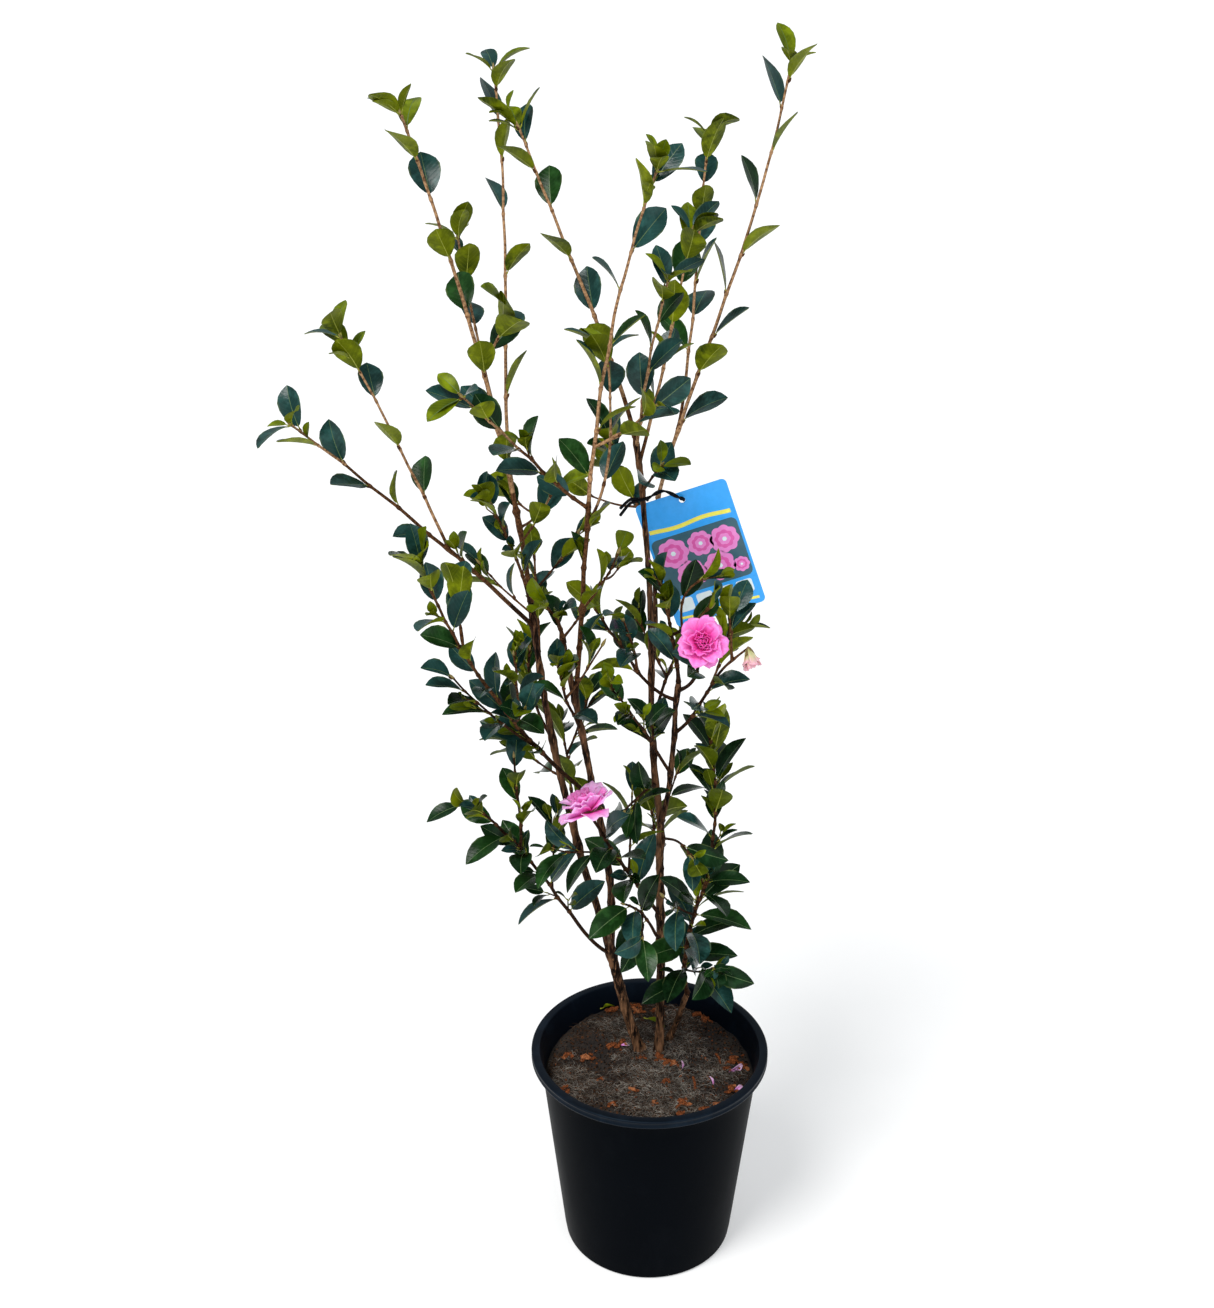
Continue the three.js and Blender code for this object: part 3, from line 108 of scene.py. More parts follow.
# Each shoot: the mass it belongs to, the stem and share of it where it starts, its tip, bow,
# kink and radii, and for its leaves their length, gap, first bearing, turn from one to the
# next, bare share at the foot, droop, and how many twigs branch from it. A shoot whose mass
# isn't given is a mass of its own, and a bow, kink, droop or twig that isn't given is none.
SHOOTS = [
    dict(name="whip_left", mass="whips_left", on="bough_left", at=1, tip=(-227, 80, 1186),
         bow=(8, 0, 13), knee=(3, 0, 0), radii=(2.6, 1.2), leaf=43, gap=50, phase=330, turn=188,
         bare=0.1, twigs=1),
    dict(name="whip_left_back", mass="whips_left", on="whip_left", at=0.35, tip=(-185, 140, 1062),
         bow=(-2, 0, 0), knee=(1, 0, 0), radii=(1.6, 0.9), leaf=38, gap=50, phase=30, turn=176,
         bare=0.3),
    dict(name="whip_left_tall", mass="whips_left", on="whip_left", at=0.18, tip=(-148, 150, 1213),
         bow=(5, 0, 5), knee=(-9, 0, 0), radii=(1.9, 1), leaf=40, gap=56, phase=200, turn=187,
         bare=0.22),
    dict(name="whip_left_side", mass="whips_left", on="whip_left", at=0.15, tip=(-107, 100, 811),
         bow=(2, 0, -2), radii=(1.4, 0.9), leaf=42, gap=13, phase=80, turn=150, bare=0.4, twigs=1),
    dict(name="spray_far_left", on="bough_left", at=0.93, tip=(-313, -100, 959), bow=(-4, 0, 10),
         radii=(2.4, 1), leaf=38, gap=40, phase=330, turn=172, bare=0.2),
    dict(name="spray_far_left_up", mass="spray_far_left", on="spray_far_left", at=0.36,
         tip=(-282, 10, 1004), bow=(1, 0, 3), radii=(1.6, 0.9), leaf=38, gap=42, phase=20, turn=172,
         bare=0.15),
    dict(name="spray_left_fork", on="bough_left", at=0.96, tip=(-152, 0, 849), bow=(4, 0, 3),
         radii=(1.8, 1), leaf=40, gap=20, phase=10, turn=144, bare=0.25, twigs=1),
    dict(name="whip_middle", mass="whips_middle", on="bough_middle", at=0.82, tip=(-4, -45, 1161),
         bow=(-19, 0, 19), knee=(6, 0, 0), radii=(2.5, 1), leaf=40, gap=46, phase=330, turn=170,
         bare=0.08, twigs=1),
    dict(name="whip_middle_side", mass="whips_middle", on="whip_middle", at=0.33, tip=(-45, -10, 997),
         bow=(9, 0, 1), knee=(4, 0, -2), radii=(1.5, 0.9), leaf=40, gap=44, phase=200, turn=170,
         bare=0.2),
    dict(name="whip_crossing", mass="whips_middle", on="whip_middle", at=0.36, tip=(-164, -130, 993),
         bow=(-3, 0, 3), knee=(-2, 0, -2), radii=(1.8, 0.9), leaf=38, gap=24, phase=300, turn=150,
         bare=0.1),
    dict(name="whip_middle_low", mass="whips_middle", on="whip_middle", at=0.17, tip=(-35, 25, 790),
         bow=(2, 0, -2), radii=(1.4, 0.9), leaf=42, gap=15, phase=60, turn=144, bare=0.3, twigs=1),
    dict(name="spray_middle", on="bough_middle", at=1, tip=(-100, -62, 772), bow=(3, 0, 3),
         radii=(2.2, 1), leaf=43, gap=16, phase=0, turn=144, bare=0.25),
    dict(name="spray_middle_side", mass="spray_middle", on="spray_middle", at=0.1, tip=(-68, 5, 738),
         bow=(0, 0, -2), radii=(1.5, 0.9), leaf=42, gap=16, phase=90, turn=144, bare=0.35),
    dict(name="spray_left_low", on="bough_middle", at=0.5, tip=(-203, -150, 849), bow=(-20, 0, -2),
         knee=(0, 0, -2), radii=(2.4, 1), leaf=44, gap=20, phase=300, turn=150, bare=0.2, twigs=2),
    dict(name="spray_left_low_side", mass="spray_left_low", on="spray_left_low", at=0.27,
         tip=(-183, -110, 725), bow=(-3, 0, -2), radii=(1.4, 0.9), leaf=42, gap=26, phase=270, turn=160,
         bare=0.3),
    dict(name="spray_left_low_up", mass="spray_left_low", on="spray_left_low", at=0.36,
         tip=(-128, -110, 748), bow=(0, 0, 1), radii=(1.5, 0.9), leaf=42, gap=16, phase=90, turn=144,
         bare=0.3),
    dict(name="spray_left_mid", on="bough_left", at=0.61, tip=(-122, 70, 668), bow=(-8, 0, -1),
         radii=(1.8, 1), leaf=44, gap=15, phase=0, turn=144, bare=0.3),
    dict(name="spray_centre", on="bough_middle", at=0.72, tip=(-90, -68, 716), bow=(-3, 0, 0),
         radii=(1.7, 1), leaf=44, gap=20, phase=20, turn=150, bare=0.2, twigs=1),
    dict(name="spray_low_left", on="trunk_left", at=0.93, tip=(-134, -80, 537), bow=(2, 0, -3),
         knee=(-5, 0, -5), radii=(2.2, 1.4), leaf=44, gap=24, phase=60, turn=160, bare=0.4, droop=0.3,
         twigs=1),
    dict(name="spray_low_left_end", mass="spray_low_left", on="spray_low_left", at=1,
         tip=(-178, -112, 596), bow=(2, 0, 6), knee=(0, 0, -3), radii=(1.6, 0.9), leaf=40, gap=18,
         phase=270, turn=165, bare=0.1, droop=0.2),
    dict(name="spray_low_left_up", mass="spray_low_left", on="spray_low_left", at=0.95,
         tip=(-133, -60, 617), knee=(3, 0, 0), radii=(1.5, 0.9), leaf=40, gap=18, phase=270, turn=165,
         bare=0.15),
    dict(name="blossom_left", on="trunk_right", at=0.6, tip=(-62, -90, 574), bow=(0, 0, -4),
         radii=(2.2, 1.5), leaf=47, gap=21, phase=60, turn=144, bare=0.3, droop=0.2, twigs=2,
         blossom=dict(facing=(-0.25, 0.3, 0.9), petal=30, open=66)),
    dict(name="whip_centre", on="bough_right", at=1, tip=(-123, 90, 1172), bow=(0, 0, 4),
         knee=(3, 0, 1), radii=(2.2, 1), leaf=40, gap=46, phase=325, turn=184, bare=0.1),
    dict(name="whip_centre_short", on="bough_right", at=0.975, tip=(8, -12, 1061), bow=(-3, -6, 3),
         knee=(0, -4, 0), radii=(1.6, 0.9), leaf=36, gap=26, phase=20, turn=160, bare=0.15),
    dict(name="whip_right_near", on="bough_right", at=0.93, tip=(31, 62, 1085), bow=(2, 6, 2),
         knee=(2, 4, 0), radii=(1.8, 0.9), leaf=38, gap=34, phase=40, turn=165, bare=0.15),
    dict(name="spray_right_tuft", on="bough_right", at=0.86, tip=(4, -14, 892), radii=(1.5, 0.9),
         leaf=36, gap=14, phase=90, turn=150, bare=0.3),
    dict(name="whip_right", mass="whips_right", on="bough_back", at=1, tip=(113, 50, 1233),
         bow=(13, 0, 8), knee=(-7, 0, 2), radii=(2, 1), leaf=42, gap=44, phase=215, turn=186, bare=0.1),
    dict(name="whip_right_back", mass="whips_right", on="whip_right", at=0.16, tip=(49, 150, 1157),
         bow=(0, 0, 2), knee=(3, 0, 0), radii=(1.6, 0.9), leaf=38, gap=30, phase=40, turn=170,
         bare=0.2),
    dict(name="spray_trunk_up", on="bough_right", at=0.18, tip=(-3, -28, 636), knee=(0, -3, 0),
         radii=(1.7, 1), leaf=42, gap=16, phase=300, turn=144, bare=0.35),
    dict(name="spray_trunk_side", on="bough_right", at=0.1, tip=(-28, -72, 566), bow=(-1, 0, 2),
         radii=(1.6, 1), leaf=44, gap=24, phase=200, turn=150, bare=0.3),
    dict(name="spray_front", on="bough_front", at=1, tip=(4, -60, 795), bow=(1, 0, 1), knee=(1, 0, 0),
         radii=(2, 1), leaf=42, gap=20, phase=300, turn=144, bare=0.1, twigs=1),
    dict(name="spray_front_right", mass="spray_front", on="spray_front", at=0.24, tip=(44, -22, 784),
         bow=(-14, 0, 9), knee=(10, 0, -6), radii=(1.5, 0.9), leaf=40, gap=18, phase=90, turn=150,
         bare=0.4),
    dict(name="blossom_front", on="bough_front", at=0.94, tip=(40, -92, 752), bow=(5, 0, -2),
         knee=(4, -4, 0), radii=(1.9, 1.5), leaf=44, gap=20, phase=90, turn=144, bare=0.4,
         blossom=dict(facing=(0.05, -0.85, 0.5), petal=27, open=66)),
    dict(name="spray_right", on="bough_front", at=0.64, tip=(84, -72, 737), bow=(-4, 0, 7),
         knee=(5, 0, -5), radii=(1.9, 1.1), leaf=46, gap=18, phase=90, turn=150, bare=0.2, droop=0.1,
         twigs=1, blossom=dict(facing=(0.2, -0.35, -0.9), petal=22, open=30, inner=0)),
    dict(name="spray_right_up", mass="spray_right", on="spray_right", at=0.82, tip=(66, -60, 770),
         radii=(1.3, 0.9), leaf=36, gap=14, phase=30, turn=150, bare=0.3),
    dict(name="spray_cross", on="bough_front", at=0.87, tip=(-58, 55, 722), bow=(-1, -12, -2),
         knee=(-4, -8, 0), radii=(1.9, 1), leaf=43, gap=18, phase=180, turn=144, bare=0.3),
    dict(name="spray_cross_up", mass="spray_cross", on="spray_cross", at=0.43, tip=(-30, -55, 757),
         bow=(2, 0, 1), radii=(1.4, 0.9), leaf=42, gap=17, phase=270, turn=144, bare=0.3),
    dict(name="spray_low_centre", on="bough_front", at=0.36, tip=(-40, -84, 700), bow=(1, 0, 4),
         knee=(0, -4, 0), radii=(1.8, 1), leaf=42, gap=24, phase=60, turn=150, bare=0.3),
    dict(name="spray_trunk_right", on="trunk_right", at=0.93, tip=(36, -64, 512), bow=(2, 0, 5),
         radii=(1.5, 1), leaf=44, gap=30, phase=90, turn=150, bare=0.5, droop=0.3),
    dict(name="spray_foot_right", on="stem_right", at=1, tip=(55, -24, 458), bow=(-7, 0, 2),
         knee=(-3, 0, 0), radii=(2.3, 1.7), leaf=50, gap=11, phase=300, turn=144, bare=0.04, droop=0.45,
         twigs=3),
    dict(name="spray_right_tall", mass="spray_foot_right", on="spray_foot_right", at=1,
         tip=(54, 6, 610), bow=(8, 0, 1), knee=(-1, 0, 0), radii=(1.7, 1), leaf=46, gap=15, phase=90,
         turn=144, bare=0.12, twigs=1),
    dict(name="spray_foot_left", on="trunk_right", at=0.49, tip=(-28, -62, 455), bow=(5, 0, 7),
         knee=(-1, -3, -2), radii=(2, 1.1), leaf=48, gap=18, phase=270, turn=150, bare=0.4, droop=0.35,
         twigs=1),
    dict(name="spray_foot_back", on="trunk_right", at=0.7, tip=(2, 92, 470), bow=(0, 0, 8),
         radii=(1.9, 1), leaf=48, gap=16, phase=180, turn=144, bare=0.35, droop=0.3, twigs=2),
    dict(name="spray_back_left", on="bough_left", at=0.3, tip=(-92, 118, 560), bow=(0, 0, 8),
         radii=(1.9, 1), leaf=46, gap=17, phase=180, turn=144, bare=0.3, droop=0.15, twigs=2),
    dict(name="spray_back_left_up", on="bough_left", at=0.8, tip=(-118, 130, 745), bow=(0, 0, 4),
         radii=(1.8, 1), leaf=44, gap=17, phase=200, turn=144, bare=0.25, twigs=2),
    dict(name="spray_back_right", on="bough_right", at=0.26, tip=(32, 98, 668), bow=(0, 0, 6),
         radii=(1.9, 1), leaf=46, gap=17, phase=180, turn=144, bare=0.3, twigs=2),
    dict(name="spray_back_top", on="bough_back", at=0.72, tip=(-38, 128, 838), bow=(0, 0, 6),
         radii=(1.7, 1), leaf=42, gap=18, phase=160, turn=144, bare=0.25, twigs=2),
]
STUB = dict(on="trunk_left", at=0.97, tip=(-44, 2, 384), radii=(1.9, 1.6))

# The rule for leaves, twigs and blossoms, as the solids have it. Angles are in degrees,
# apart from fold, curl and twist, which are radians.
LEAF = dict(width_upper=0.66, width_lower=0.5, width_from=620, width_to=820, stalk=4,
            fold=0.22, curl=0.5, twist=0.8, level=0.55, tip_angle=22, low_angle=44,
            angle_over=90, wobble=16, young=0.74, young_over=3, size_spread=0.24,
            gap_spread=0.4, crowd=(0.3, 0.25))
TWIG = dict(long=78, short=46, length_spread=0.3, angle=52, lift=0.14, sag=0.056,
            radii=(1.25, 0.85), bearing=137.5, gap=17, turn=150, bare=0.25, first=0.05,
            highest=0.82, seed_step=500)
BLOSSOM = dict(room=0.8, room_lift=6, clear=14)
ROOM = dict(same_mass=6.5, other_mass=9, stem=4, floor=5, step=6, reach=45)
# The further turns that are tried in order until a leaf or twig has room
TURNS = (0, 35, -35, 75, -75, 120)
# The outline of a blade of the solids: how full it is, and the powers of its root and tip
BLADE_SCALE, BLADE_ROOT, BLADE_TIP = 2.36, 0.55, 0.7
BLADE_CHECKS = [(u, v) for u in (0.3, 0.5, 0.7, 0.88) for v in (-1, -0.5, 0, 0.5, 1)] + [(1, 0)]
TWIG_CHECKS = (0.3, 0.45, 0.6, 0.75, 0.9, 1)
# The share of a stem from which it takes up room
SHOOT_ROOM_FROM, TWIG_ROOM_FROM, SPUR_ROOM_FROM = 0.05, 0.2, 0.5

# Finer growth than the solids have: spurs in the axils, each with a few small leaves
SPUR = dict(share=0.5, length=(9, 20), angle=20, radii=(0.85, 0.65), leaf=(15, 25), gap=5,
            turn=165, bare=0.3, room=0.42, seed_step=9000, upper=0.25)

TAG = dict(width=90, height=133, thickness=0.8, corner=5, centre=(45, 42, 783), roll=19,
           hole=3, hole_inset=8)
# How many steps across and down the tag takes room at
TAG_ROOM = (8, 10)


def unit(v):
    return v / np.linalg.norm(v)


def mix(a, b, t):
    return a + (b - a) * min(1.0, max(0.0, t))


def around(first, second, degrees):
    """A direction between two that are square to each other."""
    turn = math.radians(degrees)
    return first * math.cos(turn) + second * math.sin(turn)


def dice(seed):
    """Random numbers between 0 and 1 from a whole-number seed."""
    state = (seed * 7919 + 12345) % 4294967296

    def roll():
        nonlocal state
        state = (state * 1664525 + 1013904223) % 4294967296
        return state / 4294967296

    for _ in range(3):
        roll()
    return roll


class Stem:
    """A straight line from base to tip, bowed in the middle and kinked low down."""

    def __init__(self, base, tip, radii, bow=STRAIGHT, knee=STRAIGHT):
        self.base = np.array(base, float)
        self.line = np.array(tip, float) - self.base
        self.bow = np.array(bow, float)
        self.knee = np.array(knee, float)
        self.radii = radii
        self.length = float(np.linalg.norm(self.line))
        self.reference = RIGHT if abs(self.line[1]) > LEANING * self.length else FRONT

    def point(self, s):
        bow = 4 * s * (1 - s)
        knee = KNEE_SCALE * s * (1 - s) ** 3
        return self.base + self.line * s + self.bow * bow + self.knee * knee

    def direction(self, s):
        bow = 4 * (1 - 2 * s)
        knee = KNEE_SCALE * (1 - s) ** 2 * (1 - 4 * s)
        return unit(self.line + self.bow * bow + self.knee * knee)

    def radius(self, s):
        return mix(*self.radii, s)

    def outward(self, s, bearing):
        """The direction square to the stem at a bearing: 0 is the front, 90 the right."""
        along = self.direction(s)
        first = unit(self.reference - along * self.reference.dot(along))
        return around(first, np.cross(along, first), bearing)


def planted(row, base):
    """The stem that a row of a table describes, from its base."""
    return Stem(base, row["tip"], row["radii"], row.get("bow", STRAIGHT), row.get("knee", STRAIGHT))


class Room:
    """What takes up room so far: spots with a radius, each of one mass and perhaps one stem."""

    def __init__(self, most=80000):
        self.spots = np.zeros((most, 3))
        self.radii = np.zeros(most)
        self.mass = np.zeros(most, int)
        self.stem = np.zeros(most, int)
        self.count = 0
        self.numbers = {None: 0}

    def number(self, thing):
        return self.numbers.setdefault(thing, len(self.numbers))

    def take(self, point, radius, mass, stem=None):
        i = self.count
        self.spots[i], self.radii[i] = point, radius
        self.mass[i], self.stem[i] = self.number(mass), self.number(stem)
        self.count += 1

    def take_stem(self, stem, mass, start=0.0):
        count = math.ceil(stem.length / ROOM["step"])
        for i in range(math.ceil(start * count), count + 1):
            self.take(stem.point(i / count), stem.radius(i / count), mass, stem)

    def has(self, points, mass, own, share=1.0):
        """Whether points keep clear of all that is taken, apart from their own stem."""
        points = np.array(points)
        if points[:, 2].min() <= SOIL["level"] + ROOM["floor"]:
            return False
        middle = points.mean(0)
        reach = np.abs(points - middle).max() + ROOM["reach"]
        near = (np.abs(self.spots[:self.count] - middle) < reach).all(1)
        near &= self.stem[:self.count] != self.number(own)
        near = np.flatnonzero(near)
        same = self.mass[near] == self.number(mass)
        apart = np.where(same, ROOM["same_mass"], ROOM["other_mass"])
        need = self.radii[near] + np.where(self.stem[near] > 0, ROOM["stem"], apart)
        gaps = np.linalg.norm(points[:, None] - self.spots[None, near], axis=2)
        return bool((gaps > share * need).all())


Leaf = namedtuple("Leaf", "root along normal side length width stalk fold curl s bearing order")


def height_share(z):
    """0 in the lower crown and 1 among the high whips, rising evenly between."""
    return mix(0, 1, (z - LEAF["width_from"]) / (LEAF["width_to"] - LEAF["width_from"]))


def make_leaf(stem, s, bearing, angle, length, droop, roll, order):
    """A leaf that leaves a stem at s, at a bearing, an angle to the stem and with a droop."""
    stemway, outward = stem.direction(s), stem.outward(s, bearing)
    along = unit(around(stemway, outward, angle) - UP * droop)
    normal = around(-outward, stemway, angle) + UP * LEAF["level"]
    normal = unit(normal - along * normal.dot(along))
    turn = math.degrees(LEAF["twist"] * (roll - 0.5))
    normal = around(normal, np.cross(along, normal), turn)
    root = stem.point(s)
    width = mix(LEAF["width_lower"], LEAF["width_upper"], height_share(root[2]))
    return Leaf(root, along, normal, np.cross(along, normal), length, width,
                LEAF["stalk"] + stem.radius(s), LEAF["fold"], LEAF["curl"], s, bearing, order)


def blade_point(leaf, u, v):
    """A point of a leaf of the solids: u runs from the stalk to the tip, v across."""
    angle = leaf.curl * u
    ahead = leaf.stalk + leaf.length * math.sin(angle) / leaf.curl
    drop = leaf.length * (1 - math.cos(angle)) / leaf.curl
    half = 0.5 * leaf.length * leaf.width
    half = half * BLADE_SCALE * u**BLADE_ROOT * (1 - u) ** BLADE_TIP * v
    normal = leaf.normal * math.cos(angle) + leaf.along * math.sin(angle)
    return (leaf.root + leaf.along * ahead - leaf.normal * drop
            + leaf.side * (half * math.cos(leaf.fold)) + normal * (abs(half) * math.sin(leaf.fold)))


def grow_leaves(room, shoot, share=1.0):
    """Leaves from the tip of a stem down to its bare part, crowded at the tip."""
    stem, roll = shoot["stem"], dice(shoot["seed"])
    leaves, order = [], 0
    below = BLOSSOM["clear"] if shoot.get("blossom") else 0
    while below < (1 - shoot["bare"]) * stem.length:
        bearing = shoot["phase"] + order * shoot["turn"] + LEAF["wobble"] * (roll() - 0.5)
        angle = mix(LEAF["tip_angle"], LEAF["low_angle"], below / LEAF["angle_over"])
        angle += LEAF["wobble"] * (roll() - 0.5)
        grown = mix(LEAF["young"], 1, (order + 1) / LEAF["young_over"])
        length = shoot["leaf"] * grown * (1 + LEAF["size_spread"] * (roll() - 0.5))
        tilt = roll()
        for extra in TURNS:
            leaf = make_leaf(stem, 1 - below / stem.length, bearing + extra, angle, length,
                             shoot.get("droop", 0), tilt, order)
            points = [blade_point(leaf, u, v) for u, v in BLADE_CHECKS]
            if room.has(points, shoot["mass"], stem, share):
                for point in points:
                    room.take(point, 0, shoot["mass"])
                leaves.append(leaf)
                break
        crowd = min(1, LEAF["crowd"][0] + LEAF["crowd"][1] * order)
        below += shoot["gap"] * crowd * (1 + LEAF["gap_spread"] * (roll() - 0.5))
        order += 1
    return leaves


def grow_twigs(room, shoot):
    """Side twigs, spread round a shoot from its bare part to near its tip."""
    stem, roll = shoot["stem"], dice(shoot["seed"] + TWIG["seed_step"])
    count = shoot.get("twigs", 0)
    grown = []
    for i in range(count):
        s = mix(shoot["bare"] + TWIG["first"], TWIG["highest"], (i + 0.5) / count)
        length = mix(TWIG["long"], TWIG["short"], s)
        length *= 1 + TWIG["length_spread"] * (roll() - 0.5)
        phase = 360 * roll()
        for extra in TURNS:
            bearing = shoot["phase"] + 90 + i * TWIG["bearing"] + extra
            way = around(stem.direction(s), stem.outward(s, bearing), TWIG["angle"])
            base = stem.point(s)
            tip = base + way * length + UP * (TWIG["lift"] * length)
            twig = Stem(base, tip, TWIG["radii"], UP * (-TWIG["sag"] * length))
            if room.has([twig.point(t) for t in TWIG_CHECKS], shoot["mass"], stem):
                room.take_stem(twig, shoot["mass"], TWIG_ROOM_FROM)
                grown.append(dict(shoot, stem=twig, gap=TWIG["gap"], phase=phase,
                                  turn=TWIG["turn"], bare=TWIG["bare"], twigs=0, blossom=None,
                                  seed=shoot["seed"] * 10 + i + 1))
                break
    return grown


def grow_spurs(room, shoot):
    """Short spurs in the axils of a shoot's leaves, with two or three small leaves each."""
    stem, roll = shoot["stem"], dice(shoot["seed"] + SPUR["seed_step"])
    spurs = []
    for i, leaf in enumerate(shoot["leaves"]):
        chance, stretch, size, turn = roll(), roll(), roll(), roll()
        upper = leaf.root[2] > LEAF["width_to"]
        if chance > SPUR["share"] * (SPUR["upper"] if upper else 1):
            continue
        way = around(stem.direction(leaf.s), stem.outward(leaf.s, leaf.bearing), SPUR["angle"])
        spur = Stem(leaf.root, leaf.root + way * mix(*SPUR["length"], stretch), SPUR["radii"])
        growth = dict(shoot, stem=spur, leaf=mix(*SPUR["leaf"], size), gap=SPUR["gap"],
                      phase=360 * turn, turn=SPUR["turn"], bare=SPUR["bare"], twigs=0,
                      blossom=None, droop=0, seed=shoot["seed"] * 100 + i + SPUR["seed_step"])
        growth["leaves"] = grow_leaves(room, growth, SPUR["room"])
        if growth["leaves"]:
            room.take_stem(spur, shoot["mass"], SPUR_ROOM_FROM)
            spurs.append(growth)
    return spurs


def tag_matrix():
    """From the tag's own flat frame, x across and y up its front, to its place."""
    turn = Matrix.Rotation(math.radians(-TAG["roll"]), 4, "Y") @ Matrix.Rotation(math.pi / 2, 4, "X")
    return Matrix.Translation(TAG["centre"]) @ turn


def grow_shrub():
    """Limbs, shoots, side twigs, leaves and spurs, in the order that the solids take room."""
    room, stems = Room(), {}
    for limb in LIMBS:
        foot = (*limb.get("foot", ()), SOIL["level"] - SOIL["foot_depth"])
        base = foot if "foot" in limb else stems[limb["on"]].point(limb["at"])
        stems[limb["name"]] = planted(limb, base)
        room.take_stem(stems[limb["name"]], limb["name"])
    for i, shoot in enumerate(SHOOTS):
        stem = planted(shoot, stems[shoot["on"]].point(shoot["at"]))
        shoot.update(stem=stem, seed=i + 1)
        shoot.setdefault("mass", shoot["name"])
        stems[shoot["name"]] = stem
        room.take_stem(stem, shoot["mass"], SHOOT_ROOM_FROM)
        if "blossom" in shoot:
            facing = unit(np.array(shoot["blossom"]["facing"], float))
            heart = stem.point(1) + facing * BLOSSOM["room_lift"]
            room.take(heart, shoot["blossom"]["petal"] * BLOSSOM["room"], shoot["name"])
    across, down = TAG_ROOM
    for i in range(across + 1):
        for j in range(down + 1):
            spot = Vector((TAG["width"] * (i / across - 0.5), TAG["height"] * (j / down - 0.5), 0))
            room.take(tag_matrix() @ spot, 0, "tag")
    growing = SHOOTS + [twig for shoot in SHOOTS for twig in grow_twigs(room, shoot)]
    for shoot in growing:
        shoot["leaves"] = grow_leaves(room, shoot)
    spurs = [spur for shoot in growing for spur in grow_spurs(room, shoot)]
    return stems, growing, spurs


# Finishes: every one is a principled shader with its own noise, made by these helpers
def linear(colour):
    """An sRGB colour of 0 to 255 as the shader's own numbers."""
    shares = [c / 255 for c in colour]
    return tuple(c / 12.92 if c <= 0.04045 else ((c + 0.055) / 1.055) ** 2.4 for c in shares)


class Nodes:
    """A tree of nodes under construction."""

    def __init__(self, tree):
        self.tree = tree

    def wire(self, kind, inputs=(), **settings):
        """Adds a node. Each input is a value, or a socket to link from."""
        node = self.tree.nodes.new(kind)
        for name, value in settings.items():
            setattr(node, name, value)
        for name, value in dict(inputs).items():
            if isinstance(value, bpy.types.NodeSocket):
                self.tree.links.new(value, node.inputs[name])
            else:
                node.inputs[name].default_value = value
        return node

    def out(self, kind, inputs=(), **settings):
        """Adds a node and gives its first output."""
        return self.wire(kind, inputs, **settings).outputs[0]

    def math(self, operation, *values):
        return self.out("ShaderNodeMath", dict(enumerate(values)), operation=operation)


class Finish(Nodes):
    """A material under construction: its tree, its shader and the ways to vary them."""

    def __init__(self, name, roughness, **settings):
        self.material = bpy.data.materials.new(name)
        self.material.use_nodes = True
        super().__init__(self.material.node_tree)
        self.shader = self.tree.nodes["Principled BSDF"].inputs
        self.shader["Roughness"].default_value = roughness
        for socket, value in settings.items():
            self.shader[socket.replace("_", " ")].default_value = value

    def own_map(self):
        return self.wire("ShaderNodeTexCoord").outputs["UV"]

    def grain(self, size, stretch=(1, 1, 1), detail=3, roughness=0.55):
        """Noise whose lumps are about size millimetres wide, stretched along the axes."""
        place = self.wire("ShaderNodeTexCoord").outputs["Object"]
        scale = tuple(1 / s for s in stretch)
        place = self.out("ShaderNodeMapping", {"Vector": place, "Scale": scale})
        inputs = {"Vector": place, "Scale": 1 / (size * MM), "Detail": detail, "Roughness": roughness}
        return self.wire("ShaderNodeTexNoise", inputs).outputs["Fac"]

    def ramp(self, factor, *stops):
        """Colours, or greys as single numbers, at places between 0 and 1."""
        node = self.wire("ShaderNodeValToRGB", {"Fac": factor})
        elements = node.color_ramp.elements
        while len(elements) < len(stops):
            elements.new(0.5)
        for element, (place, colour) in zip(elements, stops):
            element.position = place
            element.color = (*linear(colour), 1) if isinstance(colour, tuple) else (*[colour] * 3, 1)
        return node.outputs["Color"]

    def blend(self, factor, a, b):
        """A mix of two colours, which may be sRGB tuples or sockets."""
        node = self.wire("ShaderNodeMix", {"Factor": factor}, data_type="RGBA")
        for socket, colour in ((node.inputs[6], a), (node.inputs[7], b)):
            if isinstance(colour, bpy.types.NodeSocket):
                self.tree.links.new(colour, socket)
            else:
                socket.default_value = (*linear(colour), 1)
        return node.outputs[2]

    def colour(self, socket):
        self.tree.links.new(socket, self.shader["Base Color"])

    def rough(self, factor, low, high):
        value = self.out("ShaderNodeMapRange", {"Value": factor, "To Min": low, "To Max": high})
        self.tree.links.new(value, self.shader["Roughness"])

    def relief(self, height, depth, strength=1.0):
        inputs = {"Height": height, "Distance": depth * MM, "Strength": strength}
        self.tree.links.new(self.out("ShaderNodeBump", inputs), self.shader["Normal"])


# How a leaf is veined: the tone of its edge, how far its side veins lie apart and how steeply they
# leave the midrib, and where its pale edge begins and is full, in its own map
LEAF_EDGE = (124, 140, 84)
VEINS = dict(apart=0.055, slope=-0.5, edge_from=0.42, edge_full=0.49, edge_share=0.4)


def lighter(colour, more, scale=1):
    return tuple(min(255, scale * c + more) for c in colour)


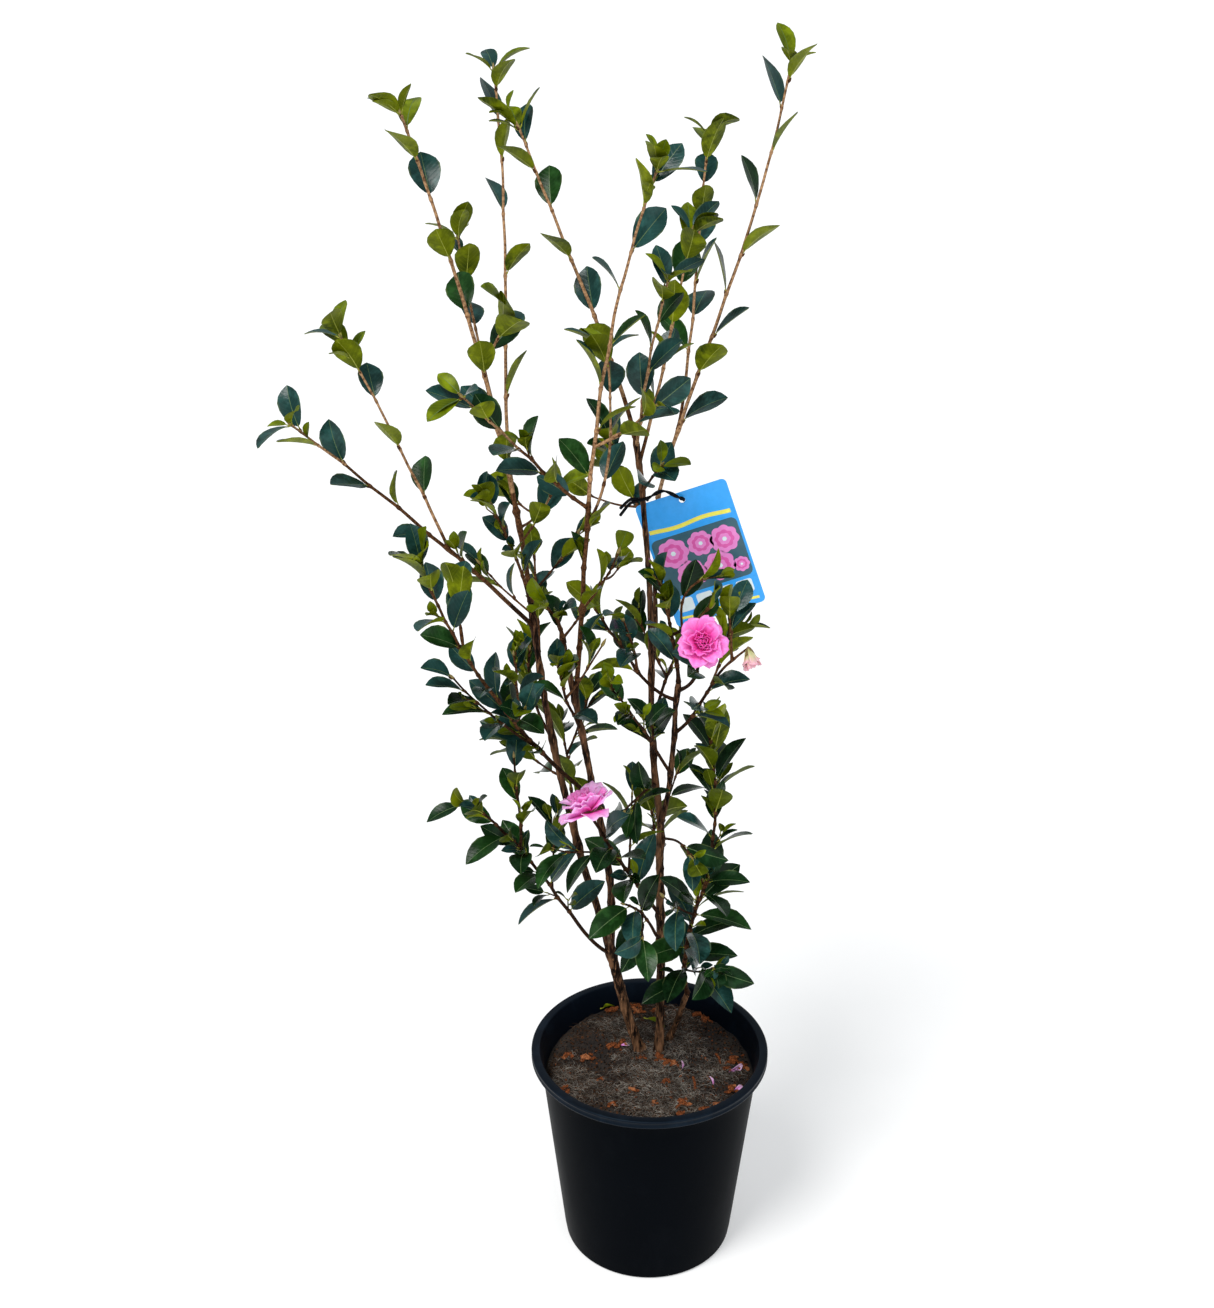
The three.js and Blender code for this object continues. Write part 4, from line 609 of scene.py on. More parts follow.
def blade_finish(name, dark, light, roughness, veins, relief, shine):
    """A leaf's skin: near tones, patches of painted sheen, faint side veins and a pale edge
    along its own map, and a leathery grain."""
    finish = Finish(name, roughness, Specular_IOR_Level=shine)
    tone = finish.ramp(finish.grain(30, detail=2), (0.3, dark), (0.7, light))
    # Painted sheen: lighter patches by chance that stand in for glossy highlights
    painted_sheen = finish.ramp(finish.grain(11), (0.5, 0.0), (0.72, 0.5))
    tone = finish.blend(painted_sheen, tone, lighter(light, 16, 1.25))
    own = finish.wire("ShaderNodeSeparateXYZ", {0: finish.own_map()})
    off_rib = finish.math("ABSOLUTE", finish.math("SUBTRACT", own.outputs["X"], 0.5))
    climb = finish.math("MULTIPLY_ADD", off_rib, VEINS["slope"], own.outputs["Y"])
    wave = finish.math("PINGPONG", climb, VEINS["apart"])
    vein = finish.ramp(finish.math("MULTIPLY", wave, 1 / VEINS["apart"]), (0.0, 1.0), (0.3, 0.0))
    veined = finish.blend(finish.math("MULTIPLY", vein, veins), tone, lighter(light, 20))
    edge = finish.ramp(off_rib, (VEINS["edge_from"], 0.0), (VEINS["edge_full"], VEINS["edge_share"]))
    finish.colour(finish.blend(edge, veined, LEAF_EDGE))
    finish.rough(finish.grain(12), roughness - 0.07, roughness + 0.1)
    height = finish.math("MULTIPLY_ADD", vein, -0.6, finish.grain(2.4, detail=2))
    finish.relief(height, relief, 0.5)
    return finish.material


def plain_finish(name, dark, light, roughness, size, relief, **settings):
    """Two near tones in grains of one size, with a little relief."""
    finish = Finish(name, roughness, **settings)
    grain = finish.grain(size)
    finish.colour(finish.ramp(grain, (0.35, dark), (0.65, light)))
    finish.relief(grain, relief)
    return finish.material


def bark_finish(name, dark, middle, pale, rubbed):
    """Brown bark with lengthwise streaks and fine cracks, and paler rubbed patches."""
    finish = Finish(name, 0.78, Specular_IOR_Level=0.06)
    streaks = finish.grain(1.6, stretch=(1, 1, 9), detail=5, roughness=0.65)
    patches = finish.grain(9, stretch=(1, 1, 4))
    wood = finish.ramp(streaks, (0.44, dark), (0.55, middle), (0.7, pale))
    finish.colour(finish.blend(finish.ramp(patches, (0.46, 0.0), (rubbed, 0.5)), wood, pale))
    cracks = finish.grain(0.7, stretch=(1, 1, 14), detail=4, roughness=0.7)
    finish.rough(streaks, 0.6, 0.88)
    finish.relief(finish.math("ADD", streaks, cracks), 0.9)
    return finish.material


def petal_finish(name, heart, middle, edge):
    """A petal, deeper at its foot and paler at its edge, with fine lines along it."""
    finish = Finish(name, 0.5, Subsurface_Weight=0.12, Subsurface_Scale=0.004)
    own = finish.own_map()
    across = finish.out("ShaderNodeMapping", {"Vector": own, "Scale": (16, 1.2, 1)})
    lines = finish.wire("ShaderNodeTexNoise", {"Vector": across, "Scale": 1.6}).outputs["Fac"]
    height = finish.wire("ShaderNodeSeparateXYZ", {0: own}).outputs["Y"]
    spread = finish.math("MULTIPLY_ADD", lines, 0.3, finish.math("SUBTRACT", height, 0.15))
    finish.colour(finish.ramp(spread, (0.12, heart), (0.5, middle), (0.92, edge)))
    finish.relief(lines, 0.3, 0.5)
    return finish.material


def pot_finish(name, shine, dust_and_sheen_share, dark, light, dust_and_sheen_tone, **settings):
    """Black moulded plastic with a soft sheen, rubbed and dusty in places. Its film is dust on the
    body, and on the rim's copy it is a painted bluish sheen.
    """
    finish = Finish(name, 0.42, Specular_IOR_Level=shine, **settings)
    dust_and_sheen_patches = finish.grain(26, stretch=(1, 1, 2.4), detail=6, roughness=0.62)
    rubs_and_sheen_streaks = finish.grain(2.2, stretch=(1, 1, 7), detail=4)
    # The film: real dust on the body, painted sky sheen where the tone is bluish
    dust_and_sheen_film = finish.math("MULTIPLY", finish.ramp(dust_and_sheen_patches, (0.52, 0.0), (0.85, dust_and_sheen_share)), rubs_and_sheen_streaks)
    plastic = finish.blend(finish.grain(70), dark, light)
    finish.colour(finish.blend(dust_and_sheen_film, plastic, dust_and_sheen_tone))
    finish.rough(dust_and_sheen_patches, 0.32, 0.5)
    finish.relief(finish.grain(0.9, detail=2), 0.05)
    return finish.material


def peat_finish():
    """Dark brown compost with rusty and grey crumbs."""
    finish = Finish("peaty compost", 0.95)
    crumbs = finish.grain(2.4, detail=6, roughness=0.7)
    brown = finish.ramp(crumbs, (0.38, (8, 6, 4)), (0.56, (34, 23, 17)), (0.76, (80, 56, 40)))
    grey = finish.ramp(finish.grain(40, detail=2), (0.46, 0.0), (0.62, 0.4))
    finish.colour(finish.blend(grey, brown, (62, 54, 46)))
    finish.relief(crumbs, 1.4)
    return finish.material


def card_finish(name, ink):
    """Glossy printed card: one ink, with the faint unevenness of print."""
    finish = Finish(name, CARD_ROUGHNESS, Coat_Weight=0.3, Coat_Roughness=0.2)
    worn = tuple(max(0, c - 9) for c in ink)
    finish.colour(finish.ramp(finish.grain(6), (0.3, worn), (0.7, ink)))
    finish.rough(finish.grain(2), CARD_ROUGHNESS - 0.05, CARD_ROUGHNESS + 0.08)
    return finish.material


MATT = dict(Specular_IOR_Level=0.06)
CARD_ROUGHNESS = 0.34
# Matt and satin grains: dark and light tone, roughness, size of grain and relief
MATT_GRAINS = {
    "grey fibre": ((80, 73, 66), (156, 148, 138), 0.85, 14, 0.1),
    "brown fibre": ((46, 33, 25), (98, 75, 58), 0.85, 14, 0.1),
    "pale fibre": ((132, 126, 118), (196, 190, 180), 0.85, 14, 0.1),
    "dark crumb": ((9, 6, 4), (34, 23, 16), 0.95, 2, 0.1),
    "brown crumb": ((38, 23, 15), (92, 61, 41), 0.95, 2, 0.1),
    "rusty bark": ((48, 22, 12), (146, 82, 46), 0.85, 1.6, 0.8),
    "pale bark": ((92, 48, 28), (176, 112, 72), 0.85, 1.6, 0.8),
    "dark twig": ((22, 12, 7), (62, 38, 23), 0.7, 2.2, 0.2),
    "brown twig": ((52, 31, 18), (112, 74, 45), 0.65, 2.2, 0.2),
    "tan twig": ((100, 68, 44), (188, 147, 108), 0.6, 2.6, 0.15),
    "node bark": ((46, 27, 16), (100, 65, 40), 0.7, 1.2, 0.2),
    "black tie": ((7, 8, 10), (16, 18, 22), 0.5, 3, 0.1),
}
SATIN_GRAINS = {
    "bud scale": ((118, 104, 44), (158, 134, 78), 0.5, 1.5, 0.15),
    "midrib": ((60, 88, 50), (92, 116, 64), 0.4, 2, 0.1),
    "under midrib": ((136, 144, 38), (160, 164, 56), 0.5, 2, 0.1),
    "leaf stalk": ((132, 138, 26), (158, 158, 44), 0.45, 2, 0.1),
    "sepal": ((92, 74, 36), (136, 112, 62), 0.6, 2, 0.1),
}
# Leaves: dark and light tone, roughness, how much the veins show, relief and shine
LEAF_TONES = {
    "deep leaf": ((4, 23, 6), (17, 46, 20), 0.22, 0.17, 0.14, 0.1),
    "green leaf": ((10, 36, 9), (27, 62, 22), 0.22, 0.17, 0.14, 0.1),
    # The teal leaf's blue-green is a painted sky reflection on a dark green leaf
    "teal leaf": ((11, 38, 33), (32, 69, 65), 0.2, 0.17, 0.14, 0.16),
    "young leaf": ((52, 68, 0), (104, 118, 4), 0.36, 0.2, 0.14, 0.1),
    "bright underside": ((48, 62, 0), (112, 122, 2), 0.5, 0.2, 0.2, 0.08),
    "olive underside": ((40, 54, 0), (78, 90, 2), 0.5, 0.2, 0.2, 0.08),
}
# Bark: dark, middle and pale tone, and where on the noise its rubbed patches are full
BARK_TONES = {
    "old bark": ((12, 7, 5), (56, 38, 27), (176, 128, 92), 0.62),
    "bough bark": ((12, 7, 5), (58, 37, 26), (156, 112, 80), 0.68),
    "dead wood": ((40, 29, 22), (94, 74, 56), (140, 116, 90), 0.62),
}
# Petals: the tone of the heart, the middle and the edge
PETAL_TONES = {
    "outer petal": ((228, 24, 140), (242, 70, 178), (246, 136, 212)),
    "pale petal": ((232, 70, 172), (246, 132, 216), (250, 186, 238)),
    "fallen petal": ((224, 128, 200), (238, 158, 222), (250, 204, 240)),
    "middle petal": ((214, 12, 120), (236, 44, 158), (244, 104, 196)),
    "inner petal": ((176, 4, 84), (222, 20, 132), (240, 74, 176)),
    "faded petal": ((170, 172, 104), (206, 196, 150), (236, 176, 190)),
}
INKS = {
    "blue card": (44, 170, 255), "teal print": (52, 96, 112), "pink print": (242, 140, 214),
    "deep pink print": (230, 92, 178), "white print": (232, 246, 250),
    "yellow print": (250, 240, 96), "pale back": (222, 228, 230),
}


def make_finishes():
    """Every finish by its name."""
    finishes = {
        "moulded plastic": pot_finish("moulded plastic", 0.01, 0.03, (4, 6, 9), (6, 9, 14),
                                      (84, 90, 98)),
        # The rim's copy of the plastic: a bluer base, a bluish film and a blue specular tint, all
        # painted sky reflection
        "rim plastic": pot_finish("rim plastic", 0.13, 0.14, (5, 9, 16), (8, 14, 24),
                                  (76, 104, 134), Specular_Tint=(0.5, 0.76, 1.0, 1)),
        "peaty compost": peat_finish(),
        "pale floor": plain_finish("pale floor", (214, 214, 214), (218, 218, 218), 0.9, 400, 0.1,
                                   Emission_Color=(1, 1, 1, 1), Emission_Strength=0.34),
    }
    for name, row in MATT_GRAINS.items():
        finishes[name] = plain_finish(name, *row, **MATT)
    families = ((plain_finish, SATIN_GRAINS), (blade_finish, LEAF_TONES),
                (bark_finish, BARK_TONES), (petal_finish, PETAL_TONES))
    for family, tones in families:
        for name, row in tones.items():
            finishes[name] = family(name, *row)
    for name, ink in INKS.items():
        finishes[name] = card_finish(name, ink)
    return finishes


FINISHES = make_finishes()


# Meshes
class Piece:
    """The points and faces of one object, gathered bit by bit in millimetres."""

    def __init__(self, name, slot, finishes):
        self.name, self.slot = name, slot
        self.finishes = list(finishes)
        self.points, self.faces, self.paints, self.maps, self.rims = [], [], [], [], []
        self.count = 0

    def add(self, points, faces, paint, own_map=None, rim=None):
        """Adds a closed body. paint names one finish for all its faces, or one for each."""
        points = np.asarray(points, float).reshape(-1, 3)
        names = [paint] * len(faces) if isinstance(paint, str) else paint
        self.points.append(points)
        self.faces.extend([[i + self.count for i in face] for face in faces])
        self.paints.extend([self.finishes.index(name) for name in names])
        self.maps.append(np.zeros((len(points), 2)) if own_map is None else own_map)
        self.rims.append(np.zeros(len(points), bool) if rim is None else rim)
        self.count += len(points)

    def add_rings(self, rings, poles, paint):
        """Adds a closed body of rings, with a pole at each end. paint is one finish, or one for
        each stretch between rings."""
        rings = np.asarray(rings, float)
        count, sides = rings.shape[:2]
        foot, last = count * sides, (count - 1) * sides
        names = [paint] * (count - 1) if isinstance(paint, str) else paint
        faces, paints = [], []
        for j in range(sides):
            k = (j + 1) % sides
            faces += [(foot, k, j), (foot + 1, last + j, last + k)]
            paints += [names[0], names[-1]]
            for low, name in zip(range(0, last, sides), names):
                faces.append((low + j, low + k, low + sides + k, low + sides + j))
                paints.append(name)
        self.add(np.concatenate([rings.reshape(-1, 3), poles]), faces, paints)

    def make(self, smooth=True):
        """The finished object. Edges that join two rim points are kept sharp."""
        mesh = bpy.data.meshes.new(self.name)
        points = np.concatenate(self.points) * MM
        mesh.from_pydata(points.tolist(), [], self.faces, shade_flat=not smooth)
        for name in self.finishes:
            mesh.materials.append(FINISHES[name])
        mesh.polygons.foreach_set("material_index", self.paints)
        loops = np.zeros(len(mesh.loops), int)
        mesh.loops.foreach_get("vertex_index", loops)
        own_map = mesh.uv_layers.new(name="own_map")
        own_map.data.foreach_set("uv", np.concatenate(self.maps)[loops].ravel())
        ends = np.zeros(2 * len(mesh.edges), int)
        mesh.edges.foreach_get("vertices", ends)
        sharp = np.concatenate(self.rims)[ends.reshape(-1, 2)].all(1)
        mesh.attributes.new("sharp_edge", "BOOLEAN", "EDGE").data.foreach_set("value", sharp)
        mesh.update()
        return place(self.name, mesh, self.slot)


def new_object(name, data):
    thing = bpy.data.objects.new(name, data)
    bpy.context.scene.collection.objects.link(thing)
    return thing


def place(name, mesh, slot):
    """An object of the shrub at the origin, which rides on the only body."""
    piece = new_object(name, mesh)
    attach(piece, "root")
    return piece


def transport(centres, first):
    """Directions across a path at each of its points, carried along without twist."""
    ways = np.gradient(centres, axis=0)
    ways /= np.linalg.norm(ways, axis=1)[:, None]
    firsts = []
    for way in ways:
        first = unit(first - way * way.dot(first))
        firsts.append(first)
    firsts = np.array(firsts)
    return firsts, np.cross(ways, firsts), ways


def ring_angles(count):
    return np.arange(count) * 2 * math.pi / count


def tube(piece, centres, radii, sides, paint, dome=0.5):
    """A closed tube along a path. radii holds one number for each ring, or for each point of
    it. paint is one finish, or one for each stretch between rings."""
    centres = np.asarray(centres, float)
    radii = np.asarray(radii, float)
    radii = radii if radii.ndim == 2 else radii.reshape(-1, 1)
    radii = np.broadcast_to(radii, (len(centres), sides))
    firsts, seconds, ways = transport(centres, FRONT)
    turn = ring_angles(sides)
    spokes = (firsts[:, None] * np.cos(turn)[None, :, None]
              + seconds[:, None] * np.sin(turn)[None, :, None])
    rings = centres[:, None] + spokes * radii[:, :, None]
    poles = [centres[0] - ways[0] * dome * radii[0].mean(),
             centres[-1] + ways[-1] * dome * radii[-1].mean()]
    piece.add_rings(rings, poles, paint)


def sheet(piece, grid, thickness, paint):
    """A thin closed sheet from a grid of points, with its own map over it."""
    grid = np.asarray(grid, float)
    rows, columns = grid.shape[:2]
    across = np.gradient(grid, axis=1)
    along = np.gradient(grid, axis=0)
    normals = np.cross(across, along)
    normals /= np.maximum(np.linalg.norm(normals, axis=2), 1e-9)[:, :, None]
    top, under = grid + normals * thickness / 2, grid - normals * thickness / 2
    size = rows * columns
    u, v = np.meshgrid(np.linspace(0, 1, rows), np.linspace(0, 1, columns), indexing="ij")
    own_map = np.stack([v, u], axis=2).reshape(-1, 2)
    at = np.arange(size).reshape(rows, columns)
    faces = []
    for i in range(rows - 1):
        for j in range(columns - 1):
            a, b, c, d = at[i, j], at[i, j + 1], at[i + 1, j + 1], at[i + 1, j]
            faces += [(a, b, c, d), (size + d, size + c, size + b, size + a)]
    edge = [*at[0, :-1], *at[:-1, -1], *at[-1, :0:-1], *at[:0:-1, 0]]
    for a, b in zip(edge, edge[1:] + edge[:1]):
        faces.append((b, a, size + a, size + b))
    points = np.concatenate([top.reshape(-1, 3), under.reshape(-1, 3)])
    piece.add(points, faces, paint, np.concatenate([own_map, own_map]))


# The pot
def body_radius(z):
    """The pot's outer radius below its lip, at a height."""
    return mix(POT["base"], POT["top"], z / POT["height"])


def inner_radius(z):
    return body_radius(z) - POT["wall"]


def arc(x, z, radius, start, stop, count=6):
    """Points of an arc in the pot's section, by its centre, radius and angles in degrees."""
    angles = np.radians(np.linspace(start, stop, count))
    return [(x + radius * math.cos(a), z + radius * math.sin(a)) for a in angles]


def pot_section():
    """The pot's section from the middle of its underside, over the lip, to its inner floor."""
    foot, bead, rim = POT["height"] - POT["lip"], POT["bead"], POT["rim"]
    corner, hollow, brim = POT["base_round"], POT["under_lip"], POT["brim_round"]
    waist = (foot + POT["height"]) / 2
    return [
        (0, 0), (40, 0), (80, 0),
        *arc(body_radius(0) - corner, corner, corner, -90, 5),
        *[(body_radius(z), z) for z in np.linspace(12, foot - 4, 14)],
        *arc(body_radius(foot) + hollow, foot - hollow, hollow, 180, 90),
        *arc(rim - bead, foot + bead, bead, -90, 40),
        (rim - POT["groove"], waist - 1), (rim - POT["groove"], waist + 1),
        *arc(rim - bead, POT["height"] - bead, bead, -40, 90),
        *arc(POT["mouth"] + brim, POT["height"] - brim, brim, 90, 180, 4),
        (inner_radius(foot), foot - 1),
        *[(inner_radius(z), z) for z in np.linspace(foot - 12, POT["floor"] + 4, 12)],
        (inner_radius(0) - 4, POT["floor"]), (40, POT["floor"]), (0, POT["floor"]),
    ]


def spun(piece, section, turns, names):
    """A closed body spun from a section that starts and ends on the axis. names holds the
    finish of each stretch of the section between its poles."""
    angles = ring_angles(turns)
    inside = np.array(section[1:-1])
    rings = np.stack([inside[:, :1] * np.cos(angles), inside[:, :1] * np.sin(angles),
                      np.repeat(inside[:, 1:], turns, axis=1)], axis=2)
    piece.add_rings(rings, [(0, 0, section[0][1]), (0, 0, section[-1][1])], names)


def drain_cutter():
    """The drain holes' cylinders, joined in one mesh."""
    cutter = Piece("drain_cutter", "pot", ["moulded plastic"])
    depth = 2 * POT["floor"]
    for turn in ring_angles(DRAIN["count"]):
        x, y = DRAIN["ring"] * math.cos(turn), DRAIN["ring"] * math.sin(turn)
        tube(cutter, [(x, y, -depth), (x, y, 0), (x, y, depth)], DRAIN["radius"],
             DRAIN["sides"], "moulded plastic", dome=0)
    return cutter.make(smooth=False)


def make_pot():
    pot = Piece("nursery_pot", "pot", ["moulded plastic", "rim plastic"])
    section = pot_section()
    outside = POT["height"] - POT["lip"] - PAINTED_SHEEN_REACH["below_lip"]
    inside = SOIL["level"] - PAINTED_SHEEN_REACH["below_soil"]
    brink = max(range(len(section)), key=lambda i: section[i][1])
    # Faces near the lip and high on the inner wall take the copy with painted sky sheen
    shown = [outside] * (brink - 1) + [inside] * (len(section) - brink - 2)
    rim = [min(a[1], b[1]) > least for a, b, least in zip(section[1:], section[2:-1], shown)]
    spun(pot, section, POT["turns"], ["rim plastic" if on else "moulded plastic" for on in rim])
    shell, cutter = pot.make(), drain_cutter()
    cut = shell.modifiers.new("drain holes", "BOOLEAN")
    cut.object, cut.operation, cut.solver = cutter, "DIFFERENCE", "EXACT"
    keep_result(shell)
    bpy.data.objects.remove(cutter)
    shell.data.set_sharp_from_angle(angle=math.radians(50))
    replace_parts(shell, "pot")


def keep_result(piece):
    """Makes a piece's modified shape its own plain mesh."""
    evaluated = piece.evaluated_get(bpy.context.evaluated_depsgraph_get())
    mesh = bpy.data.meshes.new_from_object(evaluated)
    piece.modifiers.clear()
    piece.data = mesh


# The soil and what lies on it
def soil_height(x, y):
    """The soil's surface: a low mound that sinks by the wall, rough all over."""
    reach, lump = inner_radius(SOIL["level"]), SOIL["lump"]
    out = math.hypot(x, y) / reach
    rough = noise.fractal(Vector((x / lump, y / lump, 3.7)), 1.0, 2.1, 4) * SOIL["roughness"]
    heap = SOIL["heap"] * max(0.0, y / reach) ** 2
    return SOIL["level"] + SOIL["mound"] * (1 - out * out) - SOIL["sink"] * out**8 + rough + heap


def make_soil():
    soil = Piece("compost", "soil", ["peaty compost"])
    edge = inner_radius(SOIL["level"]) + POT["wall"] / 3
    angles = ring_angles(SOIL["turns"])
    foot = POT["floor"] + SOIL["above_floor"]
    low = inner_radius(foot)
    rows = [[(low * math.cos(a), low * math.sin(a), foot) for a in angles]]
    for radius in edge * np.linspace(0, 1, SOIL["rings"] + 1)[1:][::-1]:
        spots = [(radius * math.cos(a), radius * math.sin(a)) for a in angles]
        rows.append([(x, y, soil_height(x, y)) for x, y in spots])
    soil.add_rings(rows, [(0, 0, foot), (0, 0, soil_height(0, 0))], "peaty compost")
    body = soil.make()
    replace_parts(body, "soil")


class GeometryTree(Nodes):
    """A Geometry Nodes tree with a geometry in and out, and named inputs for its sizes."""

    def __init__(self, name, **inputs):
        super().__init__(bpy.data.node_groups.new(name, "GeometryNodeTree"))
        sockets = [("Geometry", "INPUT", "Geometry")]
        sockets += [(label, "INPUT", kind) for label, kind in inputs.items()]
        for label, way, kind in [*sockets, ("Geometry", "OUTPUT", "Geometry")]:
            self.tree.interface.new_socket(label, in_out=way, socket_type="NodeSocket" + kind)
        self.ask = self.tree.nodes.new("NodeGroupInput").outputs

    def chance(self, least, most):
        """A random vector for each copy, from the tree's own seed."""
        limits = {"Min": least, "Max": most, "Seed": self.ask["Seed"]}
        return self.out("FunctionNodeRandomValue", limits, data_type="FLOAT_VECTOR")

    def strew(self, body, density, tilt, least, most):
        """Copies of a body over the faces, tilted and turned by chance, of a size by chance."""
        spots = self.out("GeometryNodeDistributePointsOnFaces",
                         {"Mesh": self.ask["Geometry"], "Density": density, "Seed": self.ask["Seed"]},
                         distribute_method="RANDOM")
        turn = self.chance((-tilt, -tilt, 0.0), (tilt, tilt, 2 * math.pi))
        return self.out("GeometryNodeInstanceOnPoints", {
            "Points": spots, "Instance": body, "Rotation": turn, "Scale": self.chance(least, most)})

    def finish(self, instances, shift=None, smooth=True):
        """Realizes the instances, moves their points by a field, and gives them their finish."""
        real = self.out("GeometryNodeRealizeInstances", {0: instances})
        if shift is not None:
            real = self.out("GeometryNodeSetPosition", {"Geometry": real, "Offset": shift})
        shade = self.out("GeometryNodeSetShadeSmooth", {0: real, "Shade Smooth": smooth})
        dressed = self.out("GeometryNodeSetMaterial",
                           {"Geometry": shade, "Material": self.ask["Material"]})
        self.tree.links.new(dressed, self.tree.nodes.new("NodeGroupOutput").inputs[0])
        return self

    def run(self, name, slot, mesh, **settings):
        """Runs the tree over a mesh and keeps what it makes as a plain piece."""
        piece = new_object(name, mesh)
        modifier = piece.modifiers.new(name, "NODES")
        modifier.node_group = self.tree
        for item in self.tree.interface.items_tree:
            if item.in_out == "INPUT" and item.name in settings:
                modifier[item.identifier] = settings[item.name]
        bpy.context.view_layer.update()
        keep_result(piece)
        mesh = piece.data
        bpy.data.objects.remove(piece)
        return place(name, mesh, slot)


# Root fibres: the patches of noise they grow in, with the noise where they begin and are full,
# how far from its centre the pull begins in metres, and their tilt and sizes. Then a strand of
# length 1, as a curve, and how crumbs tilt.
FIBRE = dict(patches=17.0, bare=0.45, full=0.55, near=0.06, tilt=0.7, least=(0.4, 0.4, 0.7),
             most=(1.3, 1.3, 1.8))
STRAND = {"Resolution": 6, "Start": (-0.5, 0, -0.04), "Start Handle": (-0.25, 0.3, 0.16),
          "End Handle": (0.1, -0.25, 0.2), "End": (0.5, 0.06, -0.03)}
CRUMB_TILT = 0.6


def fibre_tree():
    """Root fibres: thin curved strands, thicker in patches and round a centre that pulls."""
    tree = GeometryTree("root fibres", Density="Float", Length="Float", Thickness="Float",
                        Seed="Int", Centre="Vector", Pull="Float", Material="Material")
    ask = tree.ask
    patches = tree.wire("ShaderNodeTexNoise", {"Scale": FIBRE["patches"], "Detail": 2.0})
    away = tree.wire("ShaderNodeVectorMath",
                     {0: tree.out("GeometryNodeInputPosition"), 1: ask["Centre"]},
                     operation="DISTANCE").outputs["Value"]
    pulled = tree.math("MULTIPLY", tree.math("SUBTRACT", away, FIBRE["near"]), ask["Pull"])
    share = tree.out("ShaderNodeMapRange", {
        "Value": tree.math("SUBTRACT", patches.outputs["Fac"], pulled),
        "From Min": FIBRE["bare"], "From Max": FIBRE["full"]})
    length = tree.out("ShaderNodeCombineXYZ", dict.fromkeys(range(3), ask["Length"]))
    curve = tree.out("GeometryNodeCurvePrimitiveBezierSegment", STRAND)
    curve = tree.out("GeometryNodeTransform", {"Geometry": curve, "Scale": length})
    section = tree.out("GeometryNodeCurvePrimitiveCircle",
                       {"Resolution": 3, "Radius": ask["Thickness"]})
    strand = tree.out("GeometryNodeCurveToMesh",
                      {"Curve": curve, "Profile Curve": section, "Fill Caps": True})
    density = tree.math("MULTIPLY", share, ask["Density"])
    return tree.finish(tree.strew(strand, density, FIBRE["tilt"], FIBRE["least"], FIBRE["most"]))


def crumb_tree():
    """Crumbs or chips: small lumps strewn over a surface, each one dented in its own way."""
    tree = GeometryTree("crumbs", Density="Float", Least="Vector", Most="Vector", Dent="Float",
                        Grain="Float", Seed="Int", Material="Material")
    ask = tree.ask
    lump = tree.out("GeometryNodeMeshIcoSphere", {"Radius": 0.5, "Subdivisions": 1})
    strewn = tree.strew(lump, ask["Density"], CRUMB_TILT, ask["Least"], ask["Most"])
    dents = tree.wire("ShaderNodeTexNoise", {"Scale": ask["Grain"], "Detail": 1.0}).outputs["Color"]
    centred = tree.out("ShaderNodeVectorMath", {0: dents, 1: (0.5, 0.5, 0.5)},
                       operation="SUBTRACT")
    shift = tree.out("ShaderNodeVectorMath", {0: centred, "Scale": ask["Dent"]},
                     operation="SCALE")
    return tree.finish(strewn, shift, smooth=False)


PATCH = dict(reach=0.97, rings=24, turns=72)


def soil_patch():
    """The soil's surface alone, as the ground to strew things on."""
    mesh = bpy.data.meshes.new("soil patch")
    rings, turns = PATCH["rings"], PATCH["turns"]
    edge = inner_radius(SOIL["level"]) * PATCH["reach"]
    points, faces = [(0, 0, soil_height(0, 0) * MM)], []
    for i in range(1, rings + 1):
        for j in range(turns):
            angle = 2 * math.pi * j / turns
            x, y = edge * i / rings * math.cos(angle), edge * i / rings * math.sin(angle)
            points.append((x * MM, y * MM, soil_height(x, y) * MM))
    for j in range(turns):
        k = (j + 1) % turns
        faces.append((0, 1 + j, 1 + k))
        for low in range(1, 1 + (rings - 1) * turns, turns):
            high = low + turns
            faces.append((low + j, high + j, high + k, low + k))
    mesh.from_pydata(points, [], faces)
    return mesh


# Chips of bark on the soil: place, length and turn
CHIPS = [
    (-41, 104, 13, 20), (-21, 102, 9, 80), (-12, 101, 9, 10), (-10, 92, 11, 140), (9, 95, 10, 60),
    (57, 90, 12, 30), (66, 84, 11, 100), (-87, 18, 11, 50), (-66, 14, 13, 170), (-39, 33, 11, 0),
    (-29, 37, 10, 70), (12, 11, 11, 120), (20, 4, 10, 30), (27, 1, 9, 80), (91, 12, 13, 100),
    (100, 2, 11, 60), (83, -2, 8, 20), (-91, -38, 13, 30), (-18, -42, 10, 130), (17, -28, 9, 50),
    (34, -62, 13, 120), (31, -80, 10, 60), (57, -72, 12, 20), (70, -62, 9, 150), (86, -37, 12, 80),
    (-40, -64, 8, 10), (-8, 14, 9, 90), (-52, -22, 7, 40), (4, -60, 7, 100),
]
# How the bits of one broken chip lie: shares of its length to the right and back, and size
CHIP_HEAP = [(-0.1, 0.05, 0.9), (0.42, -0.2, 0.6), (-0.4, -0.3, 0.5), (0.24, 0.36, 0.46)]
STICKS = [((46, -18), (47, -40), 1.5), ((72, 20), (76, 4), 1.3)]
# Fallen petals: place, length, turn and tilt. Then their width as a share of the length, cup, curl
# and ruffle, how high they lie, and how far their tips rise as a share of the tilt.
FALLEN = [(-25, 34, 10, 10, 10), (36, 2, 11, 80, 60), (92, -4, 19, 4, 78), (66, -26, 11, 95, 60),
          (94, -33, 16, 40, 20)]
FALLEN_FORM = dict(width=0.42, cup=0.7, curl=0.5, ruffle=0.8, above=1.6, rise=0.4)
# Shed leaves on the soil: place, length and turn. Then how high and how far back their roots lie,
# and their form.
SHED = [(-44, 100, 17, 35), (8, 70, 22, -20)]
SHED_LEAF = dict(above=5.0, back=0.6, width=0.4, fold=0.5, curl=0.7)

